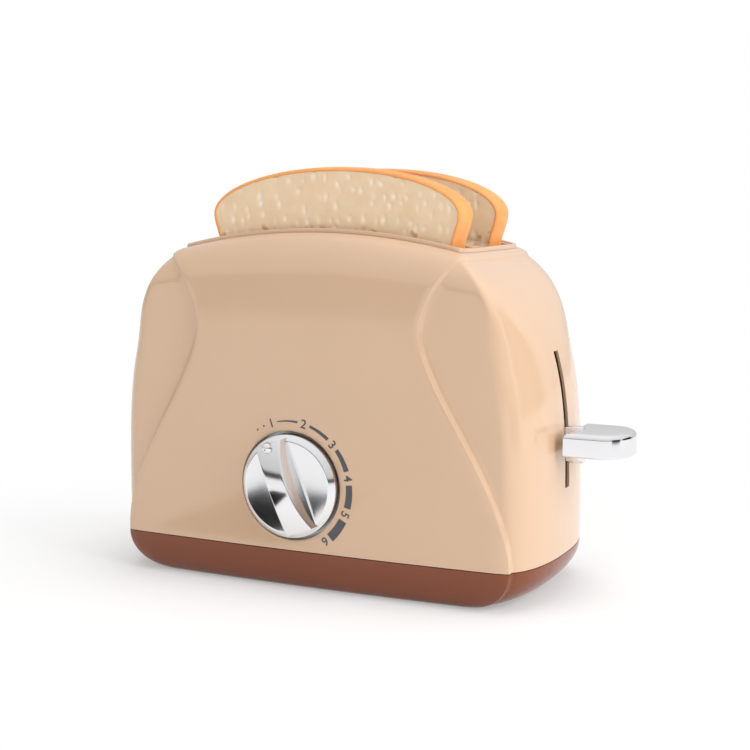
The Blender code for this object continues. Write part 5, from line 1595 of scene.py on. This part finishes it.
@dataclass
class BreadSlice:
    """One toy slice: a crust ring with a pitted crumb inside it."""

    node: str
    body: str
    seed: int
    crust_face: float = 0.0009
    crust_round: float = 0.0010
    crust_belly: float = 0.0004
    crust_lip: float = 0.00005
    crumb_recess: float = 0.00025
    seam: float = 0.0002
    pit_spacing: float = 0.0047
    pit_depth: float = 0.00060
    # Share of the painted highlight at the deepest pits.
    pit_highlight_share: float = 0.7
    grid: float = 0.00062
    half_width: float = 0.0519
    side_half_width: float = 0.0490
    foot_half_width: float = 0.0470
    dome_height: float = 0.0175
    neck_height: float = 0.0130
    foot_corner: float = 0.0060

    def outline(self) -> np.ndarray:
        """Return the slice's outline in the XZ plane, finely spaced."""
        low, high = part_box(self.node)
        centre = (low.x + high.x) / 2
        widest = high.z - self.dome_height
        half = []
        for step in range(61):
            turn = math.pi / 2 * (1 - step / 60)
            half.append((self.half_width * math.cos(turn), widest + self.dome_height * math.sin(turn)))
        for step in range(1, 25):
            share = step / 24
            fall = float(smooth_step(share))
            x = self.half_width + (self.side_half_width - self.half_width) * fall
            half.append((x, widest - self.neck_height * share))
        side_top = widest - self.neck_height
        side_low = low.z + self.foot_corner
        for step in range(1, 30):
            share = step / 30
            x = self.side_half_width + (self.foot_half_width - self.side_half_width) * share
            half.append((x, side_top + (side_low - side_top) * share))
        for step in range(13):
            turn = -math.pi / 2 * step / 12
            x = self.foot_half_width - self.foot_corner + self.foot_corner * math.cos(turn)
            half.append((x, side_low + self.foot_corner * math.sin(turn)))
        for step in range(1, 20):
            half.append(((self.foot_half_width - self.foot_corner) * (1 - step / 20), low.z))
        right = [(centre + x, z) for x, z in half]
        left = [(centre - x, z) for x, z in reversed(half[1:])]
        return np.array(right + left)

    def inset(self, outline: np.ndarray, distance: float) -> np.ndarray:
        """Return an outline moved inwards."""
        along = np.roll(outline, -1, axis=0) - np.roll(outline, 1, axis=0)
        normals = np.column_stack([along[:, 1], -along[:, 0]])
        normals /= np.maximum(np.linalg.norm(normals, axis=1, keepdims=True), 1e-12)
        middle = outline.mean(axis=0)
        outward = np.sign(((outline - middle) * normals).sum())
        return outline - normals * outward * distance

    def build(self) -> list[bpy.types.Object]:
        """Make the crust and the crumb and hang them on the slice's body.

        Returns:
            The two pieces.
        """
        crust, crumb = self.crust(), self.crumb()
        for piece in (crust, crumb):
            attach(piece, self.body)
        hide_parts(self.node)
        return [crust, crumb]

    def crust(self) -> bpy.types.Object:
        """Return the crust ring, a closed band with a soft belly."""
        low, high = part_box(self.node)
        outline = self.outline()
        middle, half = (low.y + high.y) / 2, (high.y - low.y) / 2
        size, face = self.crust_round, self.crust_face
        profile = [
            (face + size, half * 0.2), (face + size, half - size * 0.4),
            (face + size * 0.5, half - self.crust_lip),
        ]
        profile += [
            (size * (1 - math.sin(math.pi / 2 * step / 6)) + self.crust_belly,
             half - size * (1 - math.cos(math.pi / 2 * step / 6)))
            for step in range(7)
        ]
        profile += [(self.crust_belly * (place ** 2), half * place) for place in (0.66, 0.45, 0.22, 0.0)]
        front = profile + [(inset, -y) for inset, y in reversed(profile[:-1])]
        rings = [
            [(x, middle + y, z) for x, z in self.inset(outline, inset)]
            for inset, y in front
        ]
        return new_piece(f"{self.node}_crust", flatten(rings), skin(rings, closed=True), Finish.CRUST, 50.0)

    def crumb(self) -> bpy.types.Object:
        """Return the crumb: two pitted faces joined round their edge, with a painted highlight in the pits.
        """
        low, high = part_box(self.node)
        outline = self.inset(self.outline(), self.crust_face + self.seam)
        middle, half = (low.y + high.y) / 2, (high.y - low.y) / 2 - self.crumb_recess
        rng = random.Random(self.seed)
        points, rows = self.fill(outline)
        front = self.relief(points, rng)
        back = self.relief(points, rng)
        vertices = [(x, middle - half + d, z) for (x, z), d in zip(points, front)]
        vertices += [(x, middle + half - d, z) for (x, z), d in zip(points, back)]
        faces = both_sides(rows, len(points))
        crumb = new_piece(f"{self.node}_crumb", vertices, faces, Finish.CRUMB, 60.0)
        # Store a painted highlight for the crumb's material, paler where the pits are deeper.
        shares = np.concatenate([front, back]) / self.pit_depth
        pit_highlight = crumb.data.attributes.new("pit_highlight", "FLOAT", "POINT")
        pit_highlight.data.foreach_set("value", np.clip(shares * self.pit_highlight_share, 0.0, 1.0).astype(np.float32))
        return crumb

    def fill(self, outline: np.ndarray) -> tuple[list[Spot], list[tuple]]:
        """Return a grid that fills the outline, with columns that end on it.

        Args:
            outline: The outline in the XZ plane.

        Returns:
            The grid's points and its faces.
        """
        low, high = outline.min(axis=0), outline.max(axis=0)
        columns = int((high[0] - low[0]) / self.grid)
        crown = high[1] - self.dome_height
        shares = np.sin(np.linspace(0.0, math.pi / 2, 44)[1:])
        heights = np.concatenate([np.arange(low[1], crown, self.grid), crown + self.dome_height * shares])
        centre = (low[0] + high[0]) / 2
        half = outline[outline[:, 0] >= centre - 1e-9]
        order = np.argsort(half[:, 1])
        widths = np.interp(heights, half[order][:, 1], half[order][:, 0] - centre)
        widths = np.maximum(widths, self.grid)
        points = []
        for height, width in zip(heights, widths):
            points += [(centre + width * place, height) for place in np.linspace(-1.0, 1.0, columns + 1)]
        faces = []
        for row in range(len(heights) - 1):
            for column in range(columns):
                corner = row * (columns + 1) + column
                faces.append((corner, corner + 1, corner + columns + 2, corner + columns + 1))
        return points, faces

    def relief(self, points: Sequence[Spot], rng: random.Random) -> np.ndarray:
        """Return the depth of the crumb's pits at each point of its face."""
        place = np.array(points)
        low, high = place.min(axis=0), place.max(axis=0)
        depth = np.zeros(len(place))
        rows = int((high[1] - low[1]) / self.pit_spacing)
        columns = int((high[0] - low[0]) / self.pit_spacing)
        for row in range(rows + 1):
            for column in range(columns + 1):
                if rng.random() < 0.15:
                    continue
                x = low[0] + (column + 0.5 * (row % 2) + rng.uniform(-0.35, 0.35)) * self.pit_spacing
                z = low[1] + (row + rng.uniform(-0.35, 0.35)) * self.pit_spacing
                wide, tall = rng.uniform(0.00045, 0.00085), rng.uniform(0.0008, 0.0017)
                amount = rng.uniform(0.3, 1.0) * self.pit_depth
                near = (np.abs(place[:, 0] - x) < wide * 3) & (np.abs(place[:, 1] - z) < tall * 3)
                spot = ((place[near, 0] - x) / wide) ** 2 + ((place[near, 1] - z) / tall) ** 2
                depth[near] = np.maximum(depth[near], amount * np.exp(-spot))
        return depth


# Inner works


@dataclass
class LiftSpring:
    """The coil between the carriage and the shell's anchor, which stretches with the lever."""

    coil_radius: float = 0.0034
    wire_radius: float = 0.00045
    turns: int = 9
    points_per_turn: int = 28
    wire_segments: int = 12
    end_reach: float = 0.0050

    def build(self) -> bpy.types.Object:
        """Make the coil in place, where the imported spring stands.

        Returns:
            The coil.
        """
        low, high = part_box("lift_spring")
        centre = plan_centre("lift_spring")
        bottom, top = low.z + self.wire_radius, high.z - self.wire_radius
        around = circle((0.0, 0.0), self.wire_radius, self.wire_segments)
        steps = self.turns * self.points_per_turn
        pitch = (top - bottom) / self.turns
        rings = []
        for step in range(steps + 1):
            turn = math.tau * step / self.points_per_turn
            out = Vector((math.cos(turn), math.sin(turn), 0.0))
            reach = out * self.coil_radius
            along = Vector((-reach.y, reach.x, pitch / math.tau)).normalized()
            side = along.cross(out)
            middle = Vector((*centre, bottom + (top - bottom) * step / steps)) + reach
            rings.append([tuple(middle + out * a + side * b) for a, b in around])
        coil = new_piece("lift_coil", flatten(rings), skin(rings), Finish.SPRING, 60.0)
        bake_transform(coil)
        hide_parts("lift_spring")
        return coil


@dataclass
class InnerWorks:
    """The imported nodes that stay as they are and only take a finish."""

    finishes: dict[str, Finish] = field(default_factory=lambda: {
        "base_screw_front_left": Finish.STEEL, "base_screw_front_right": Finish.STEEL,
        "base_screw_rear_left": Finish.STEEL, "base_screw_rear_right": Finish.STEEL,
        "guide_rod_front_right": Finish.STEEL, "guide_rod_rear_right": Finish.STEEL,
        "guide_rod_left": Finish.STEEL, "bread_carriage": Finish.BASE,
        "knob_arbor": Finish.STEEL, "drive_gear": Finish.NYLON,
        "release_cam": Finish.NYLON, "idler_arbor": Finish.STEEL, "idler_pinion": Finish.STEEL,
        "idler_gear": Finish.NYLON, "escape_arbor": Finish.STEEL, "escape_pinion": Finish.STEEL,
        "escape_wheel": Finish.NYLON, "pallet": Finish.BASE, "pallet_pin": Finish.STEEL,
        "timer_front_plate": Finish.STEEL, "timer_back_plate": Finish.STEEL,
        "timer_screw_left": Finish.STEEL, "timer_screw_right": Finish.STEEL,
        "mainspring": Finish.SPRING, "latch_rocker": Finish.STEEL, "rocker_pin": Finish.STEEL,
    })

    def dress(self) -> list[bpy.types.Object]:
        """Give each kept node its finish.

        Returns:
            The nodes.
        """
        dressed = []
        for name, finish in self.finishes.items():
            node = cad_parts[name]
            node.data.materials.clear()
            node.data.materials.append(finish.made)
            dressed.append(node)
        return dressed


# Studio


@dataclass
class Studio:
    """The pale floor, the soft lights, the surroundings and the camera."""

    camera_place: Point = (0.2415, -0.4895, 0.1473)
    camera_azimuth: float = 25.33
    camera_pitch: float = 7.32
    camera_lens: float = 66.9
    floor_half: float = 3.0
    fade_inner: float = 0.09
    fade_outer: float = 0.24
    fade_low: float = 0.30
    mirror_share: float = 0.85
    floor_gap: float = 0.0002
    floor_colour: tuple[float, ...] = (0.86, 0.86, 0.86, 1.0)
    ambient_levels: Spot = (0.26, 0.90)
    aim_height: float = 0.07

    def build(self) -> None:
        """Make the floor, lights, surroundings and camera."""
        self.floor()
        self.surroundings()
        self.soft_box("right_light", (1.1, -0.10, 0.50), (0.8, 0.9), 10.0)
        self.soft_box("front_light", (-0.5, -1.2, 0.75), (1.0, 0.9), 5.0)
        self.soft_box("top_light", (0.0, 0.1, 1.3), (1.2, 1.0), 7.0)
        foot = ((0.50, -0.33), (0.62, -0.02))
        self.card("dark_card", foot, (0.0, 0.245), 0.02)
        self.card("pale_card", foot, (0.245, 0.75), 0.85)
        self.floor_card("dark_floor_card", (-0.115, -0.205), (-0.045, -0.100))
        self.camera()
        bpy.context.scene.view_settings.view_transform = "Standard"

    def card(self, name: str, foot: Sequence[Spot], heights: Spot, glow: float) -> None:
        """Stand up a card that only glossy surfaces show.

        Args:
            name: The card's name.
            foot: The plan places of its two upright edges.
            heights: The heights of its lower and upper edge.
            glow: The strength of its glow.
        """
        (ax, ay), (bx, by) = foot
        low, high = heights
        self.glossy_only(name, [(ax, ay, low), (bx, by, low), (bx, by, high), (ax, ay, high)], glow)

    def floor_card(self, name: str, low: Spot, high: Spot) -> None:
        """Lay a dark card on the floor that only glossy surfaces show."""
        (ax, ay), (bx, by) = low, high
        self.glossy_only(name, [(ax, ay, 0.0), (bx, ay, 0.0), (bx, by, 0.0), (ax, by, 0.0)], 0.01)

    def glossy_only(self, name: str, points: Sequence[Point], strength: float) -> None:
        """Make a flat glowing card that neither the camera nor the lamps see."""
        card, tree = self.sheet(name, points)
        glow = new_node(tree, "ShaderNodeEmission", Strength=strength)
        new_node(tree, "ShaderNodeOutputMaterial", {"Surface": glow.outputs[0]})
        card.visible_camera = False
        card.visible_diffuse = False
        card.visible_shadow = False
        card.visible_transmission = False

    def sheet(self, name: str, points: Sequence[Point]) -> tuple[bpy.types.Object, bpy.types.NodeTree]:
        """Make a flat four-sided sheet.

        Args:
            name: The sheet's name.
            points: Its four corners.

        Returns:
            The sheet, and the empty node tree of its material.
        """
        mesh = bpy.data.meshes.new(name)
        mesh.from_pydata(points, [], [(0, 1, 2, 3)])
        thing = bpy.data.objects.new(name, mesh)
        bpy.context.scene.collection.objects.link(thing)
        material = bpy.data.materials.new(name)
        material.use_nodes = True
        material.node_tree.nodes.clear()
        mesh.materials.append(material)
        return thing, material.node_tree

    def floor(self) -> None:
        """Make the floor, which is white to the camera but keeps the shadow."""
        half = self.floor_half
        corners = [(-half, -half, 0), (half, -half, 0), (half, half, 0), (-half, half, 0)]
        floor, tree = self.sheet("floor", corners)
        floor.location.z = -self.floor_gap
        diffuse = new_node(tree, "ShaderNodeBsdfDiffuse", Color=self.floor_colour)
        glow = new_node(tree, "ShaderNodeEmission", Strength=1.0)
        path = new_node(tree, "ShaderNodeLightPath")
        place = new_node(tree, "ShaderNodeTexCoord").outputs["Object"]
        distance = new_node(tree, "ShaderNodeVectorMath", {0: place}, operation="LENGTH").outputs["Value"]
        fade = ramp(tree, distance, (self.fade_inner, self.fade_outer), (self.fade_low, 1.0))
        mirrored = ramp(tree, path.outputs["Is Glossy Ray"], UNIT, (0.0, self.mirror_share))
        seen = reckon(tree, "MAXIMUM", path.outputs["Is Camera Ray"], mirrored)
        share = reckon(tree, "MULTIPLY", seen, fade)
        links = {0: share, 1: diffuse.outputs[0], 2: glow.outputs[0]}
        mixed = new_node(tree, "ShaderNodeMixShader", links)
        new_node(tree, "ShaderNodeOutputMaterial", {"Surface": mixed.outputs[0]})

    def surroundings(self) -> None:
        """Light the scene softly from all round, and give metal something dark to mirror."""
        world = bpy.data.worlds.new("studio")
        bpy.context.scene.world = world
        world.use_nodes = True
        tree = world.node_tree
        tree.nodes.clear()
        path = new_node(tree, "ShaderNodeLightPath")
        direction = new_node(tree, "ShaderNodeTexCoord").outputs["Generated"]
        split = new_node(tree, "ShaderNodeSeparateXYZ", {0: direction})
        sides = ramp(tree, split.outputs["X"], (-1.0, 1.0), self.ambient_levels)
        ambient = new_node(tree, "ShaderNodeBackground", {"Color": sides}, Strength=1.0)
        white = new_node(tree, "ShaderNodeBackground", Color=(1.0, 1.0, 1.0, 1.0), Strength=1.0)
        pattern = self.mirror_pattern(tree, split)
        mirror = new_node(tree, "ShaderNodeBackground", {"Color": pattern}, Strength=1.0)
        links = {0: path.outputs["Is Glossy Ray"], 1: ambient.outputs[0], 2: mirror.outputs[0]}
        sharp = new_node(tree, "ShaderNodeMixShader", links)
        seen = reckon(tree, "MAXIMUM", path.outputs["Is Camera Ray"], path.outputs["Is Transmission Ray"])
        final = new_node(tree, "ShaderNodeMixShader", {0: seen, 1: sharp.outputs[0], 2: white.outputs[0]})
        new_node(tree, "ShaderNodeOutputWorld", {"Surface": final.outputs[0]})

    def mirror_pattern(self, tree: bpy.types.NodeTree, split: bpy.types.Node) -> bpy.types.NodeSocket:
        """Wire what glossy surfaces mirror: pale surroundings, with two dark parts of the room.

        Args:
            tree: The world's node tree.
            split: The node that gives the parts of the direction.

        Returns:
            The pattern's brightness.
        """
        x, y, z = (split.outputs[axis] for axis in "XYZ")
        pale = ramp(tree, z, UNIT, (0.62, 1.0))
        front = reckon(
            tree, "MULTIPLY", ramp(tree, y, (-0.15, -0.35), UNIT), ramp(tree, z, (0.10, 0.07), UNIT))
        right = reckon(
            tree, "MULTIPLY", ramp(tree, x, (0.55, 0.65), UNIT), ramp(tree, y, (0.16, 0.22), UNIT),
            ramp(tree, z, (0.395, 0.380), UNIT))
        keep = ramp(tree, reckon(tree, "MAXIMUM", front, right), UNIT, (1.0, 0.03))
        return reckon(tree, "MULTIPLY", pale, keep)

    def soft_box(self, name: str, place: Point, size: Spot, power: float) -> None:
        """Add a rectangular area light that faces the toaster.

        Args:
            name: The light's name.
            place: Where it stands.
            size: Its width and height.
            power: Its power in watts.
        """
        light = bpy.data.lights.new(name, "AREA")
        light.shape = "RECTANGLE"
        light.size, light.size_y = size
        light.energy = power
        thing = bpy.data.objects.new(name, light)
        bpy.context.scene.collection.objects.link(thing)
        thing.location = place
        towards = Vector((0.0, 0.0, self.aim_height)) - Vector(place)
        thing.rotation_euler = towards.to_track_quat("-Z", "Y").to_euler()
        thing.visible_glossy = False

    def camera(self) -> None:
        """Add the camera at the photograph's place and angle."""
        data = bpy.data.cameras.new("camera")
        data.sensor_fit = "HORIZONTAL"
        data.sensor_width = 36.0
        data.lens = self.camera_lens
        data.clip_start = 0.01
        camera = bpy.data.objects.new("camera", data)
        bpy.context.scene.collection.objects.link(camera)
        camera.location = self.camera_place
        turn, tilt = math.radians(self.camera_azimuth), math.radians(self.camera_pitch)
        camera.rotation_euler = (math.pi / 2 - tilt, 0.0, turn)
        bpy.context.scene.camera = camera


def main() -> None:
    """Build the toaster's sub-assemblies in order and report each piece."""
    logging.basicConfig(level=logging.INFO, format="%(message)s")
    form = HousingForm()
    housing = Housing(form)
    Studio().build()
    made = [housing.build(), Crown(housing).build(), Tray(form).build(), Knob().build()]
    made += Dial(form).build()
    made.append(Lever().build())
    made += BreadSlice("front_slice", "front_bread", 11).build()
    made += BreadSlice("rear_slice", "rear_bread", 23).build()
    made.append(LiftSpring().build())
    made += InnerWorks().dress()
    for piece in made:
        LOG.info("%s: %d faces", piece.name, len(piece.data.polygons))


if __name__ == "__main__":
    main()
